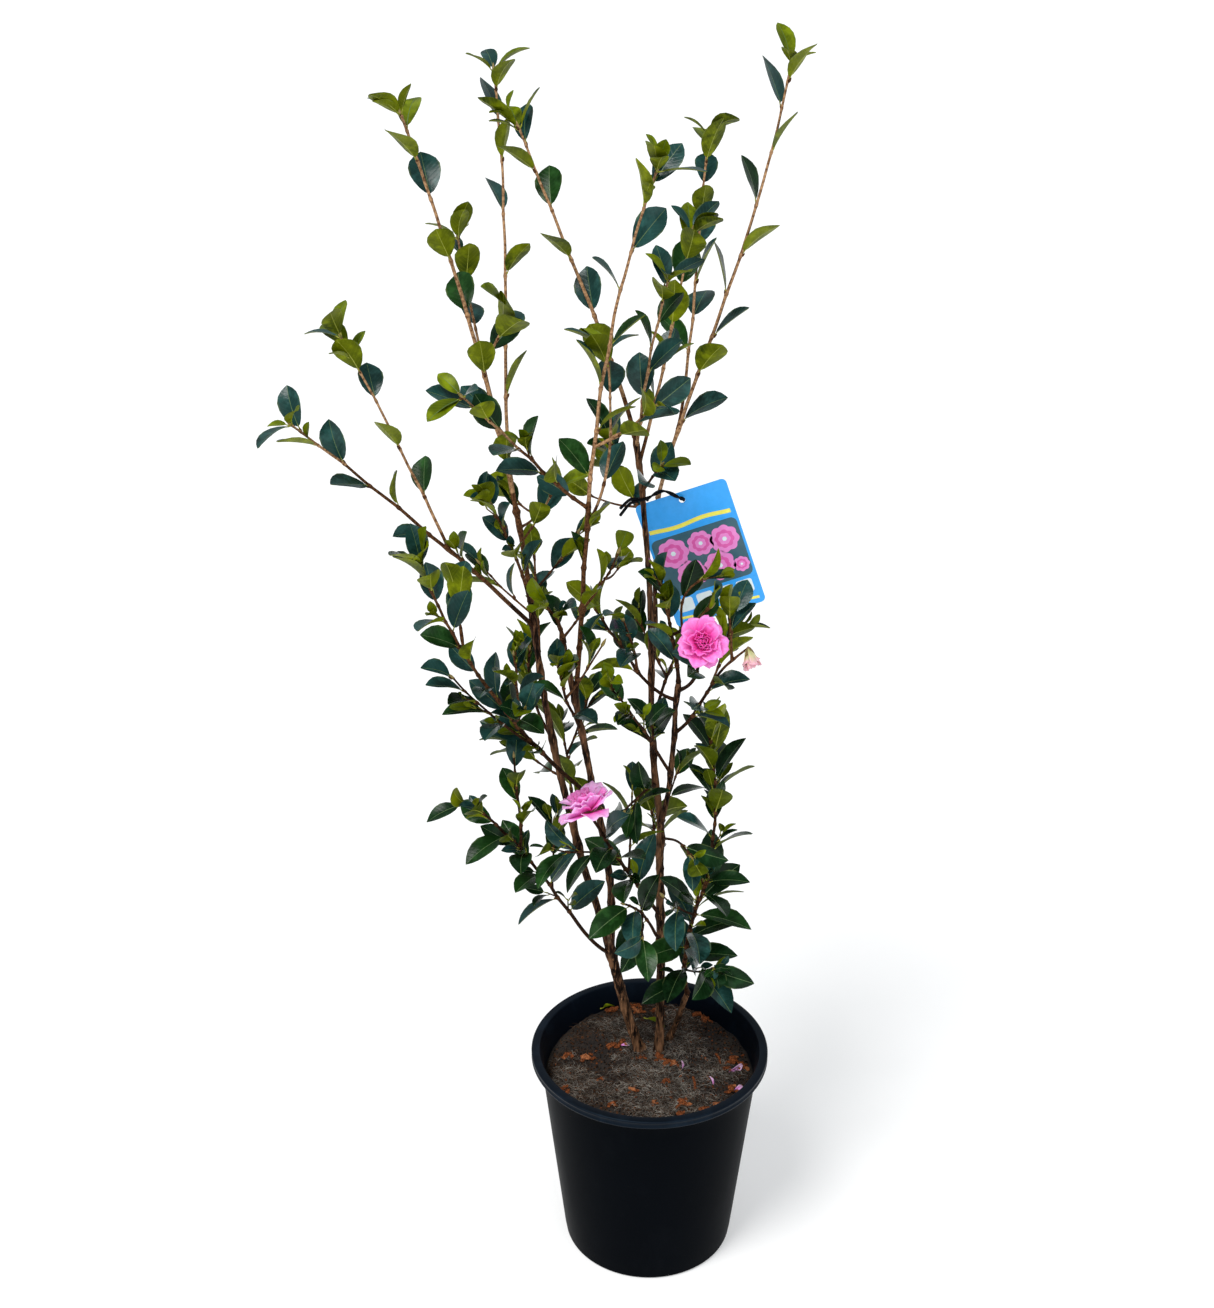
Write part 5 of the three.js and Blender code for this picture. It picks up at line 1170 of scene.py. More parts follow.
# Every chip starts as an icosahedron. Its sizes and dents are shares of its length, and it is
# sunk a little in the soil.
GOLD = (1 + math.sqrt(5)) / 2
CHIP_CORNERS = np.array([
    (-1, GOLD, 0), (1, GOLD, 0), (-1, -GOLD, 0), (1, -GOLD, 0), (0, -1, GOLD), (0, 1, GOLD),
    (0, -1, -GOLD), (0, 1, -GOLD), (GOLD, 0, -1), (GOLD, 0, 1), (-GOLD, 0, -1), (-GOLD, 0, 1),
]) / math.hypot(1, GOLD)
CHIP_FACES = [(0, 11, 5), (0, 5, 1), (0, 1, 7), (0, 7, 10), (0, 10, 11), (1, 5, 9), (5, 11, 4),
              (11, 10, 2), (10, 7, 6), (7, 1, 8), (3, 9, 4), (3, 4, 2), (3, 2, 6), (3, 6, 8),
              (3, 8, 9), (4, 9, 5), (2, 4, 11), (6, 2, 10), (8, 6, 7), (9, 8, 1)]
CHIP = dict(long=0.6, wide=0.26, wider=0.16, thick=0.2, dents=(0.34, 0.28, 0.16), tilt=0.5,
            from_wall=1, rise=0.12, above=0.9)


def chip_body(piece, x, y, length, turn, seed, paint):
    """One flat, broken chip: an icosahedron stretched, dented and turned."""
    roll = dice(seed)
    shape = CHIP_CORNERS * [CHIP["long"], CHIP["wide"] + CHIP["wider"] * roll(), CHIP["thick"]]
    shape = shape * length
    dents = np.array([roll() for _ in range(CHIP_CORNERS.size)]).reshape(CHIP_CORNERS.shape) - 0.5
    shape += dents * CHIP["dents"] * length
    tilts = (CHIP["tilt"] * (roll() - 0.5), CHIP["tilt"] * (roll() - 0.5))
    shape = shape @ np.array(Euler((*tilts, math.radians(turn))).to_matrix()).T
    spot = np.array([x, y], float)
    reach = inner_radius(SOIL["level"]) - CHIP["long"] * length - CHIP["from_wall"]
    spot *= min(1, reach / math.hypot(x, y))
    height = soil_height(*spot) + CHIP["rise"] * length + CHIP["above"]
    piece.add(shape + [*spot, height], CHIP_FACES, paint)


def make_litter():
    """Chips and sticks of bark on the soil. One bit of bark in five is pale."""
    chips = Piece("bark_chips", "soil", ["rusty bark", "pale bark"])
    for i, (x, y, length, turn) in enumerate(CHIPS):
        for k, (right, back, size) in enumerate(CHIP_HEAP):
            paint = "pale bark" if (i + 3 * k) % 5 == 3 else "rusty bark"
            chip_body(chips, x + right * length, y + back * length, size * length, turn + 50 * k,
                      i + 1 + 60 * k, paint)
    for (x, y), (x2, y2), radius in STICKS:
        ends = [(x, y, soil_height(x, y) + 1), (x2, y2, soil_height(x2, y2) + 1)]
        middle = np.mean(ends, axis=0) + (0.8, 0, 1)
        tube(chips, [ends[0], middle, ends[1]], [radius, radius, 0.7 * radius], 6, "rusty bark")
    chips.make(smooth=False)


# Fibres, in metres: how many to a square metre, length, thickness, seed, pull and finish.
# Crumbs: how many to a square metre, least and most size, dent, its grain, seed and finish.
FIBRE_CENTRE = (0.028, -0.018, 0.212)
FIBRES = {
    "grey_root_fibres": (170000.0, 0.010, 0.00014, 3, 1.3, "grey fibre"),
    "brown_root_fibres": (110000.0, 0.012, 0.00015, 8, -0.4, "brown fibre"),
    "pale_root_fibres": (52000.0, 0.010, 0.00012, 5, 1.6, "pale fibre"),
}
CRUMBS = {
    "soil_crumbs": (60000.0, 0.0009, 0.0036, 0.0010, 600.0, 2, "dark crumb"),
    "brown_crumbs": (30000.0, 0.0009, 0.0044, 0.0014, 500.0, 6, "brown crumb"),
    "bark_crumbs": (2300.0, 0.0016, 0.0050, 0.0016, 300.0, 4, "rusty bark"),
}


def strew_soil():
    """Root fibres and crumbs over the soil."""
    fibres, crumbs = fibre_tree(), crumb_tree()
    for name, (density, length, thickness, seed, pull, finish) in FIBRES.items():
        fibres.run(name, "soil", soil_patch(), Density=density, Length=length,
                   Thickness=thickness, Seed=seed, Centre=FIBRE_CENTRE, Pull=pull,
                   Material=FINISHES[finish])
    for name, (density, least, most, dent, grain, seed, finish) in CRUMBS.items():
        crumbs.run(name, "soil", soil_patch(), Density=density, Least=(least,) * 3,
                   Most=(most, 0.7 * most, 0.6 * most), Dent=dent, Grain=grain, Seed=seed,
                   Material=FINISHES[finish])


# The wood: the rings it is drawn with, and its swellings as shares of its radius. What ends in
# long, over, every or step is in millimetres along the stem, and so is crook across it.
LIMB_DRAW = dict(sides=22, step=2.6, ridge=0.09, fine=0.05, scar=0.13, scar_every=31, scar_long=2.6,
                 collar=0.3, collar_long=7, crook=1.3, crook_over=55, foot=0.5, foot_over=10)
SPUR_SIDES = 5
SHOOT_DRAW = dict(sides=8, step=6.0, least_step=0.6, node=0.42, node_long=1.9, zigzag=0.55, crook=0.9,
                  crook_over=38, collar=0.45, collar_long=5)
# Where a shoot has rings round each of its nodes, in millimetres along it
NODE_STEPS = (-3.2, -1.4, 0.0, 1.4, 3.2)
# The heights where the wood of shoots turns from dark to brown and to tan, and below which leaves
# are dark
BROWN_BELOW, TAN_ABOVE = 700, 880
DARK_BELOW = 560

# Young leaves round the tips of whips above a height: the turn from one to the next, their length
# as a share of the shoot's, and their angle to the stem
TUFT = dict(above=800, turn=118, wobble=40, length=(0.5, 0.85), angle=(12, 34), seed_step=5000)
# A leaf whose tip passes the box of the solids is made shorter by this share, a few times at most
BOX_TRIES, BOX_SHORTER = 6, 0.86
# The seed of the noise that bends the wood, so that it comes out the same at every run
WOOD_SEED = 11
noise.seed_set(WOOD_SEED)


def bump(distance, width):
    """1 at a place, falling to nothing over a width on both sides of it."""
    return math.exp(-(distance / width) ** 2)


def crook(h, seed, reach, over):
    """How far wood wanders from its even curve at a height along it."""
    spot = Vector((h / over, seed * 7.3, 0))
    return np.array(noise.noise_vector(spot)) * reach


def draw_limb(wood, stem, seed, forks, standing):
    """A trunk or bough with its ridges, old leaf scars, collars at forks and spreading foot."""
    d = LIMB_DRAW
    count = max(6, round(stem.length / d["step"]))
    turn = ring_angles(d["sides"])
    centres, radii = [], []
    for i in range(count + 1):
        s = i / count
        h = s * stem.length
        ease = min(1, 6 * s, 6 * (1 - s))
        centres.append(stem.point(s) + crook(h, seed, d["crook"] * ease, d["crook_over"]))
        swell = 1 + sum(d["collar"] * bump(h - f * stem.length, d["collar_long"]) for f in forks)
        swell += d["scar"] * bump((h + 9 * seed) % d["scar_every"] - 12, d["scar_long"])
        if standing:
            spread = math.exp(-max(0, h - SOIL["foot_depth"]) / d["foot_over"])
            swell += d["foot"] * spread * (1 + 0.5 * np.cos(3 * turn + seed))
        else:
            swell += d["collar"] * bump(h, d["collar_long"])
        ridges = np.array([
            d["ridge"] * noise.noise(Vector((math.cos(a) * 1.3, math.sin(a) * 1.3 + seed, h / 24)))
            + d["fine"] * noise.noise(Vector((math.cos(a) * 4, math.sin(a) * 4 + seed, h / 7)))
            for a in turn])
        radii.append(stem.radius(s) * (swell + 2 * ridges))
    tube(wood, centres, radii, d["sides"], "old bark" if standing else "bough bark")


def forks_on(name):
    """Where other limbs and shoots leave a stem short of its tip, as shares of it."""
    return [other["at"] for other in LIMBS + SHOOTS if other.get("on") == name and other["at"] < 1]


def make_limbs(stems):
    """The trunks and boughs in one piece, and the dead stub at the first fork."""
    wood = Piece("trunks_and_boughs", "bark", ["old bark", "bough bark", "dead wood"])
    for seed, limb in enumerate(LIMBS):
        draw_limb(wood, stems[limb["name"]], seed + 1, forks_on(limb["name"]), "foot" in limb)
    stub = planted(STUB, stems[STUB["on"]].point(STUB["at"]))
    steps = np.linspace(0, 1, 14)
    ragged = [stub.radius(s) * (1 + 0.25 * noise.noise(Vector((9 * s, 4.2, 0)))
                                + 0.4 * bump(1 - s, 0.08)) for s in steps]
    tube(wood, [stub.point(s) for s in steps], ragged, 10, "dead wood", dome=0.15)
    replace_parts(wood.make(), *[limb["name"] for limb in LIMBS], "dead_stub")


def twig_finish(z, seed):
    """Which wood a stretch of a shoot shows: brown low down, pinkish tan high up."""
    shift = 60 * math.sin(seed * 2.4)
    if z + shift > TAN_ABOVE:
        return "tan twig"
    return "brown twig" if z + shift > BROWN_BELOW else "dark twig"


def draw_shoot(wood, shoot, forks):
    """A shoot with a swollen, slightly kinked node at each leaf."""
    d, stem, seed = SHOOT_DRAW, shoot["stem"], shoot["seed"]
    nodes = sorted((leaf.s, leaf) for leaf in shoot["leaves"])
    heights = set(np.linspace(0, stem.length, max(4, round(stem.length / d["step"]))).tolist())
    for s, _ in nodes:
        heights |= {s * stem.length + step for step in NODE_STEPS}
    heights = sorted(h for h in heights if 0 <= h <= stem.length)
    heights = [h for h, after in zip(heights, heights[1:] + [math.inf])
               if after - h > d["least_step"]]
    marks = [0.0, *[s for s, _ in nodes], 1.0]
    shifts = np.array([np.zeros(3), *[stem.outward(s, leaf.bearing) * d["zigzag"]
                                      for s, leaf in nodes], np.zeros(3)])
    centres, radii, paints = [], [], []
    for h in heights:
        s = h / stem.length
        ease = min(1, 5 * s, 5 * (1 - s))
        kink = np.array([np.interp(s, marks, shifts[:, axis]) for axis in range(3)])
        centres.append(stem.point(s) + ease * (kink + crook(h, seed, d["crook"], d["crook_over"])))
        near = max([bump(h - f * stem.length, d["node_long"]) for f, _ in nodes], default=0)
        swell = 1 + d["node"] * near + d["collar"] * bump(h, d["collar_long"])
        swell += sum(d["collar"] * bump(h - f * stem.length, d["collar_long"]) for f in forks)
        radii.append(stem.radius(s) * swell)
        z = centres[-1][2]
        dark_ring = near > 0.5 and z < TAN_ABOVE
        paints.append("node bark" if dark_ring else twig_finish(z, seed))
    tube(wood, centres, radii, d["sides"], paints[:-1])


def tip_tuft(shoot):
    """Two or three more young leaves round the tip of a high whip, on no stem of their own."""
    stem, roll = shoot["stem"], dice(shoot["seed"] + TUFT["seed_step"])
    if shoot.get("blossom") or stem.point(1)[2] < TUFT["above"]:
        return dict(shoot, leaves=[])
    leaves = []
    for i in range(2 + (roll() > 0.5)):
        s = 1 - 0.5 * i / stem.length
        bearing = shoot["phase"] + TUFT["turn"] * (i + 1) + TUFT["wobble"] * (roll() - 0.5)
        length = shoot["leaf"] * mix(*TUFT["length"], roll())
        angle = mix(*TUFT["angle"], roll())
        leaves.append(make_leaf(stem, s, bearing, angle, length, 0, roll(), 0))
    return dict(shoot, leaves=leaves, seed=shoot["seed"] + TUFT["seed_step"])


def draw_spur(wood, spur):
    stem = spur["stem"]
    steps = np.linspace(0, 1, 4)
    tube(wood, [stem.point(s) for s in steps], [stem.radius(s) for s in steps],
         SPUR_SIDES, twig_finish(stem.base[2], spur["seed"]))


# The leaves
LEAF_ROWS = np.array((0.05, 0.15, 0.29, 0.45, 0.61, 0.76, 0.88, 0.96))
SIDES_OF_RIB = (-1, -0.55, -1e-3, 1e-3, 0.55, 1, 0.55, 1e-3, -1e-3, -0.55)
ROW_POINTS = len(SIDES_OF_RIB)
RIB = dict(width=0.9, tip=0.35, at_length=45, most=0.4, groove=0.2, ridge=0.45, blade=0.3)
STALK = dict(radii=(0.95, 0.62, 0.5), sides=4, start=0.4, joins=0.05, below=0.3, sag=0.4)
LOOKS_SEED = 77000
BLOSSOM_SEED, FALLEN_SEED, SHED_SEED = 300, 400, 600
Look = namedtuple("Look", "curl fold twist bend wave phase tone")


# How leaves are held: turned up toward the stem by degrees, or open and narrow at a whip's tip,
# and cupped and smaller in mid-crown
HOLD = dict(low=3, high=15, spread=16, mid=(600, 700, 820, 900), cup=0.9, small=0.84,
            tip_from=100, tip_over=3, tip_open=-20, tip_narrow=0.78, tip_long=1.22, tip_curl=0.45)
# How leaves differ from the rule: curl and fold as shares of its own, the rest by chance
LOOK = dict(curl=(0.7, 0.3), curl_spread=0.95, fold=0.6, fold_spread=1.4, fold_high=0.5,
            twist=0.7, bend=0.14, wave=0.016)
# A blade's outline low and high on the plant: the powers of its root and of its blunt tip
OUTLINE_RISE, OUTLINE_BLUNT = (0.72, 0.6), (1.75, 3.0)


def mid_crown(z):
    """1 for the folded, cupped leaves half-way up the crown, and 0 well above and below."""
    rise_from, rise_to, fall_from, fall_to = HOLD["mid"]
    rise = mix(0, 1, (z - rise_from) / (rise_to - rise_from))
    return rise * mix(1, 0, (z - fall_from) / (fall_to - fall_from))


def at_tip(leaf):
    """1 for the youngest leaf of a high whip, falling to 0 a few leaves down."""
    high = mix(0, 1, (leaf.root[2] - LEAF["width_to"]) / HOLD["tip_from"])
    return high * max(0, 1 - leaf.order / HOLD["tip_over"])


def held(leaf, roll):
    """A leaf as it is drawn: turned up toward its stem, and smaller in mid-crown."""
    tip = at_tip(leaf)
    lift = mix(mix(HOLD["low"], HOLD["high"], height_share(leaf.root[2])), HOLD["tip_open"], tip)
    lift = math.radians(lift + HOLD["spread"] * (roll() - 0.5))
    along = leaf.along * math.cos(lift) + leaf.normal * math.sin(lift)
    normal = leaf.normal * math.cos(lift) - leaf.along * math.sin(lift)
    longer = mix(1, HOLD["small"], mid_crown(leaf.root[2])) * mix(1, HOLD["tip_long"], tip)
    return leaf._replace(along=along, normal=normal, length=leaf.length * longer,
                         width=leaf.width * mix(1, HOLD["tip_narrow"], tip))


def leaf_look(roll, leaf):
    """How one leaf differs from the rule: its own curl, fold, twist, bend, wave and tone."""
    high = height_share(leaf.root[2])
    curl = mix(*LOOK["curl"], high) + LOOK["curl_spread"] * roll()
    curl += HOLD["tip_curl"] * at_tip(leaf)
    fold = LOOK["fold"] + (LOOK["fold_spread"] - LOOK["fold_high"] * high) * roll()
    fold += HOLD["cup"] * mid_crown(leaf.root[2])
    return Look(leaf.curl * curl, leaf.fold * fold, LOOK["twist"] * (roll() - 0.5),
                LOOK["bend"] * (roll() - 0.5), leaf.length * LOOK["wave"] * roll(),
                2 * math.pi * roll(), roll())


def outline(u, high):
    """A blade's width along its length: widest past the middle and blunter on high shoots."""
    rise, blunt = mix(*OUTLINE_RISE, high), mix(*OUTLINE_BLUNT, high)
    widest = (rise / (rise + blunt)) ** (1 / blunt)
    return u**rise * (1 - u**blunt) / (widest**rise * (1 - widest**blunt))


def leaf_surface(leaf, look, u, across, lift):
    """Points of a real blade. across is in millimetres from the midrib, lift is above it."""
    angle = look.curl * u
    ahead = leaf.stalk + leaf.length * np.sin(angle) / look.curl
    drop = leaf.length * (1 - np.cos(angle)) / look.curl
    half = 0.5 * leaf.length * leaf.width
    share = np.abs(across) / half
    rise = math.sin(look.fold) * half * share**1.25 + lift
    rise = rise + look.wave * share**3 * np.sin(9 * u + look.phase + np.sign(across))
    turn = look.twist * u
    sideways = across * np.cos(turn) - rise * np.sin(turn) + look.bend * leaf.length * u * u
    upwards = across * np.sin(turn) + rise * np.cos(turn)
    normals = leaf.normal[None] * np.cos(angle)[:, None] + leaf.along[None] * np.sin(angle)[:, None]
    return (leaf.root + leaf.along * ahead[:, None] - leaf.normal * drop[:, None]
            + leaf.side * sideways[:, None] + normals * upwards[:, None])


def leaf_faces():
    """The faces of a blade, and which of them are upper side, underside or rib."""
    upper, under = (0, 1, 2, 3, 4, 5), (5, 6, 7, 8, 9, 0)
    first, last = 1, 1 + ROW_POINTS * (len(LEAF_ROWS) - 1)
    tip = last + ROW_POINTS
    faces, kinds = [], []
    for line, skin in ((upper, ("top", "rib")), (under, ("under", "under rib"))):
        for strip, (a, b) in enumerate(zip(line, line[1:])):
            faces += [(0, first + b, first + a), (last + a, last + b, tip)]
            for low in range(first, last, ROW_POINTS):
                ahead = low + ROW_POINTS
                if line is upper:
                    faces += [(low + a, low + b, ahead + b), (low + a, ahead + b, ahead + a)]
                else:
                    faces += [(low + a, low + b, ahead + a), (low + b, ahead + b, ahead + a)]
            kinds += [skin[strip == 2]] * (2 * len(LEAF_ROWS))
    return faces, kinds


LEAF_FACES, LEAF_KINDS = leaf_faces()


def boxed(leaf, look):
    """The leaf, shortened until its tip lies inside the box of the solids."""
    low, high = (np.array(corner) / MM for corner in cad_box)
    for _ in range(BOX_TRIES):
        tip = leaf_surface(leaf, look, np.ones(1), np.zeros(1), np.zeros(1))[0]
        if (tip > low).all() and (tip < high).all():
            break
        leaf = leaf._replace(length=BOX_SHORTER * leaf.length)
    return leaf


def with_ends(values, last=0.0):
    """The values of a blade's rows, between those of its root and its tip."""
    return np.concatenate([[0.0], np.ravel(values), [last]])


def draw_leaf(piece, leaf, look, finishes):
    """One leaf: a thin closed blade with its midrib, and its stalk."""
    widest = 0.5 * leaf.length * leaf.width
    half = widest * outline(LEAF_ROWS, height_share(leaf.root[2]))
    rib = np.interp(LEAF_ROWS, (0, 1), (RIB["width"], RIB["tip"]))
    rib = 0.5 * leaf.length / RIB["at_length"] * rib
    rib = np.minimum(rib, RIB["most"] * half)
    across = np.outer(half, SIDES_OF_RIB)
    across[:, [2, 8]], across[:, [3, 7]] = -rib[:, None], rib[:, None]
    lift = np.zeros_like(across)
    lift[:, 2:4] = -RIB["groove"]
    lift[:, 6:] = -RIB["blade"]
    lift[:, 7:9] -= RIB["ridge"]
    u, across = with_ends(np.repeat(LEAF_ROWS, ROW_POINTS), 1.0), with_ends(across)
    points = leaf_surface(leaf, look, u, across, with_ends(lift))
    own_map = np.stack([0.5 + 0.5 * across / widest, u], axis=1)
    rim = np.zeros(len(points), bool)
    rim[[0, -1]] = True
    rim[1:-1].reshape(len(LEAF_ROWS), -1)[:, [0, 5]] = True
    piece.add(points, LEAF_FACES, [finishes[kind] for kind in LEAF_KINDS], own_map, rim)
    start = leaf.root + leaf.along * STALK["start"] * (leaf.stalk - LEAF["stalk"])
    end = leaf_surface(leaf, look, np.array([STALK["joins"]]), np.zeros(1),
                       np.array([-STALK["below"]]))[0]
    middle = (start + end) / 2 - leaf.normal * STALK["sag"]
    tube(piece, [start, middle, end], STALK["radii"], STALK["sides"], "leaf stalk")


# The tones, dealt evenly from 0 to 1, that part the colours of leaves: young from one up on spurs,
# on low spurs, at high tips and at other tips, teal (a painted sky reflection) below one high up
# and elsewhere, deep green below one, and a bright underside from one up
TONES = dict(young_spur=0.25, young_low=0.8, young_high=0.7, young_tip=0.85, teal_high=0.62,
             teal=0.24, deep=0.72, bright=0.6)


def leaf_finishes(leaf, look, spur):
    """The plain colours dealt to one leaf, by its height, its age and chance."""
    fresh = spur or leaf.order < 2
    high = leaf.root[2] > BROWN_BELOW
    low = leaf.root[2] < DARK_BELOW
    tone = look.tone
    young = TONES["young_high"] if high else TONES["young_tip"]
    if low:
        is_young = spur and tone > TONES["young_low"]
    else:
        is_young = (spur and tone > TONES["young_spur"]) or (fresh and tone > young)
    if is_young:
        top = "young leaf"
    # A teal top is a painted sky reflection, dealt more often high up
    elif tone < TONES["teal_high" if high else "teal"]:
        top = "teal leaf"
    else:
        top = "deep leaf" if tone < TONES["deep"] else "green leaf"
    bright = high or (not low and (fresh or tone > TONES["bright"]))
    under = "bright underside" if bright else "olive underside"
    return {"top": top, "under": under, "rib": "midrib", "under rib": "under midrib"}


LEAF_MATERIALS = ["deep leaf", "green leaf", "teal leaf", "young leaf", "bright underside",
                  "olive underside", "midrib", "under midrib", "leaf stalk"]
REGIONS = {
    "leaves_left": ("whips_left", "spray_far_left", "spray_left_fork", "spray_left_low",
                    "spray_left_mid", "spray_low_left", "spray_back_left", "spray_back_left_up"),
    "leaves_middle": ("whips_middle", "spray_middle", "spray_centre", "blossom_left",
                      "whip_centre", "spray_trunk_up", "spray_trunk_side", "spray_cross",
                      "spray_low_centre"),
    "leaves_right": ("whip_centre_short", "whip_right_near", "spray_right_tuft", "whips_right",
                     "spray_front", "blossom_front", "spray_right", "spray_back_right",
                     "spray_back_top"),
    "leaves_low": ("spray_trunk_right", "spray_foot_right", "spray_foot_left",
                   "spray_foot_back"),
}


def make_leaves(growing, spurs):
    for name, masses in REGIONS.items():
        piece = Piece(name, "foliage", LEAF_MATERIALS)
        for shoot in growing + spurs:
            if shoot["mass"] not in masses or not shoot["leaves"]:
                continue
            roll = dice(shoot["seed"] + LOOKS_SEED)
            for leaf in shoot["leaves"]:
                look = leaf_look(roll, leaf)
                finishes = leaf_finishes(leaf, look, shoot in spurs)
                draw_leaf(piece, boxed(held(leaf, roll), look), look, finishes)
        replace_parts(piece.make(), *masses)


def make_twigs(growing, spurs):
    wood = Piece("twigs", "bark", ["dark twig", "brown twig", "tan twig", "node bark"])
    for shoot in growing:
        draw_shoot(wood, shoot, forks_on(shoot.get("name")))
    for spur in spurs:
        draw_spur(wood, spur)
    wood.make()


# Buds: length and width in metres, and how many of the axils hold one
AXIL_BUD, TIP_BUD = (0.0046, 0.0021), (0.0085, 0.0026)
BUD_TAPER, BUD_FOOT, AXIL_BUD_SHARE, AXIL_BUD_LEAN = -1.1, 0.4, 0.62, 0.55


def bud_tree():
    """Pointed buds, one on each of a cloud of points that hold their way and size."""
    tree = GeometryTree("buds", Length="Float", Width="Float", Taper="Float", Material="Material")
    ask = tree.ask
    ball = tree.out("GeometryNodeMeshUVSphere", {"Segments": 6, "Rings": 6, "Radius": 0.5})
    spot = tree.wire("ShaderNodeSeparateXYZ", {0: tree.out("GeometryNodeInputPosition")}).outputs
    tall = tree.math("MULTIPLY", tree.math("ADD", spot["Z"], BUD_FOOT), ask["Length"])
    pinch = tree.math("MULTIPLY_ADD", spot["Z"], ask["Taper"], 1.0)
    wide = tree.math("MULTIPLY", pinch, ask["Width"])
    x, y = (tree.math("MULTIPLY", spot[axis], wide) for axis in "XY")
    form = tree.out("ShaderNodeCombineXYZ", {0: x, 1: y, 2: tall})
    bud = tree.out("GeometryNodeSetPosition", {"Geometry": ball, "Position": form})
    way = tree.out("GeometryNodeInputNamedAttribute", {"Name": "way"}, data_type="FLOAT_VECTOR")
    size = tree.out("GeometryNodeInputNamedAttribute", {"Name": "size"}, data_type="FLOAT")
    turn = tree.out("FunctionNodeAlignRotationToVector", {"Vector": way}, axis="Z")
    return tree.finish(tree.out("GeometryNodeInstanceOnPoints", {
        "Points": ask["Geometry"], "Instance": bud, "Rotation": turn, "Scale": size}))


def point_cloud(spots):
    """A mesh of bare points with the way and size that the tree reads."""
    mesh = bpy.data.meshes.new("bud places")
    mesh.from_pydata([tuple(np.array(place) * MM) for place, _, _ in spots], [], [])
    mesh.attributes.new("way", "FLOAT_VECTOR", "POINT").data.foreach_set(
        "vector", np.array([way for _, way, _ in spots]).ravel())
    mesh.attributes.new("size", "FLOAT", "POINT").data.foreach_set(
        "value", [size for _, _, size in spots])
    return mesh


def make_buds(growing):
    """Pointed buds in the axils and at the tips of shoots."""
    axils, tips = [], []
    for shoot in growing:
        roll = dice(shoot["seed"] + LOOKS_SEED + 1)
        stem = shoot["stem"]
        for leaf in shoot["leaves"]:
            if roll() < AXIL_BUD_SHARE:
                outward = stem.outward(leaf.s, leaf.bearing)
                way = unit(stem.direction(leaf.s) + AXIL_BUD_LEAN * outward)
                axils.append((leaf.root + outward * stem.radius(leaf.s), way, 0.7 + 0.6 * roll()))
        if not shoot.get("blossom"):
            tips.append((stem.point(1), stem.direction(1), 0.8 + 0.5 * roll()))
    tree = bud_tree()
    for name, slot, places, (length, width), finish in (
            ("axil_buds", "bark", axils, AXIL_BUD, "node bark"),
            ("tip_buds", "foliage", tips, TIP_BUD, "bud scale")):
        tree.run(name, slot, point_cloud(places), Length=length, Width=width, Taper=BUD_TAPER,
                 Material=FINISHES[finish])


# The blossoms
PETAL_ROWS = np.linspace(0, 1, 8)
PETAL_COLUMNS = np.linspace(-1, 1, 9)
PETAL_THICKNESS = 0.4
# A petal's outline: the notch in its edge, its cut back corners, its narrow foot and its rim
PETAL = dict(notch=0.07, notch_width=0.22, corner=0.34, corner_power=2.6, foot=0.16,
             widening=0.6, rim=0.1)
# Rings of an open blossom: how many petals, length and width as shares of the longest petal,
# how far they open as a share of the outermost, cup, curl (radians), ruffle (mm) and finish
Ring = namedtuple("Ring", "count length width open cup curl ruffle paint")
RINGS = [
    Ring(6, 1.0, 0.84, 1.0, 0.1, 0.3, 3.2, "outer petal"),
    Ring(6, 0.92, 0.74, 0.8, 0.2, 0.4, 3.4, "outer petal"),
    Ring(6, 0.8, 0.66, 0.58, 0.3, 0.1, 3.6, "middle petal"),
    Ring(7, 0.64, 0.56, 0.38, 0.4, -0.3, 3.8, "inner petal"),
    Ring(8, 0.5, 0.42, 0.2, 0.45, -0.4, 3.6, "inner petal"),
]
# The left blossom, seen from its side: paler outside, and a little wider than its solid
SIDE_PAINTS = ("pale petal", "pale petal", "outer petal", "outer petal", "inner petal")
SIDE_RINGS = [ring._replace(paint=paint) for ring, paint in zip(RINGS, SIDE_PAINTS)]
SIDE_FULLER = 1.15
FADED_RINGS = [Ring(6, 1.0, 0.5, 1.0, 0.5, -0.4, 1.6, "faded petal"),
               Ring(5, 0.8, 0.4, 0.6, 0.5, 0.5, 1.6, "faded petal")]
# By how much petals vary by chance: bearing, opening, turn about themselves, length, width and
# curl. Each ring starts a little higher than the last, and all a little out from the middle.
SPREAD = dict(bearing=38, open=0.7, turn=56, length=0.26, width=0.2, curl=0.3)
RING_RISE, RING_OUT, LONGEST_PETAL = 0.8, 1.0, 1.04
# Green leaves behind a blossom: length, width, cup, curl and ruffle of each
SEPAL = (9, 8, 0.5, -0.4, 0.1)
SEPALS = dict(count=5, first=20, wider=14, most_open=75, behind=1.5)


def petal(piece, centre, along, normal, size, paint, roll):
    """One petal: broad and notched at its edge, cupped, curled and ruffled."""
    length, width, cup, curl, ruffle = size
    side = np.cross(along, normal)
    phase, waves = 2 * math.pi * roll(), 1.6 + 1.8 * roll()
    grid = []
    for u in PETAL_ROWS:
        row = []
        for v in PETAL_COLUMNS:
            notch = PETAL["notch"] * bump(v, PETAL["notch_width"])
            reach = u * (1 - PETAL["corner"] * abs(v) ** PETAL["corner_power"] - notch)
            opened = PETAL["foot"] + (1 - PETAL["foot"]) * u ** PETAL["widening"]
            across = 0.5 * width * v * opened * (1 - PETAL["rim"] * u**4)
            angle = curl * reach
            ahead = length * (math.sin(angle) / curl)
            rise = -length * (1 - math.cos(angle)) / curl
            rise += cup * abs(v) ** 2 * 0.5 * width * (0.3 + 0.7 * u)
            rise += ruffle * u * u * math.sin(waves * math.pi * v + phase) * (0.35 + 0.65 * abs(v))
            row.append(centre + along * ahead + side * across + normal * rise)
        grid.append(row)
    sheet(piece, np.array(grid)[:, ::-1], PETAL_THICKNESS, paint)


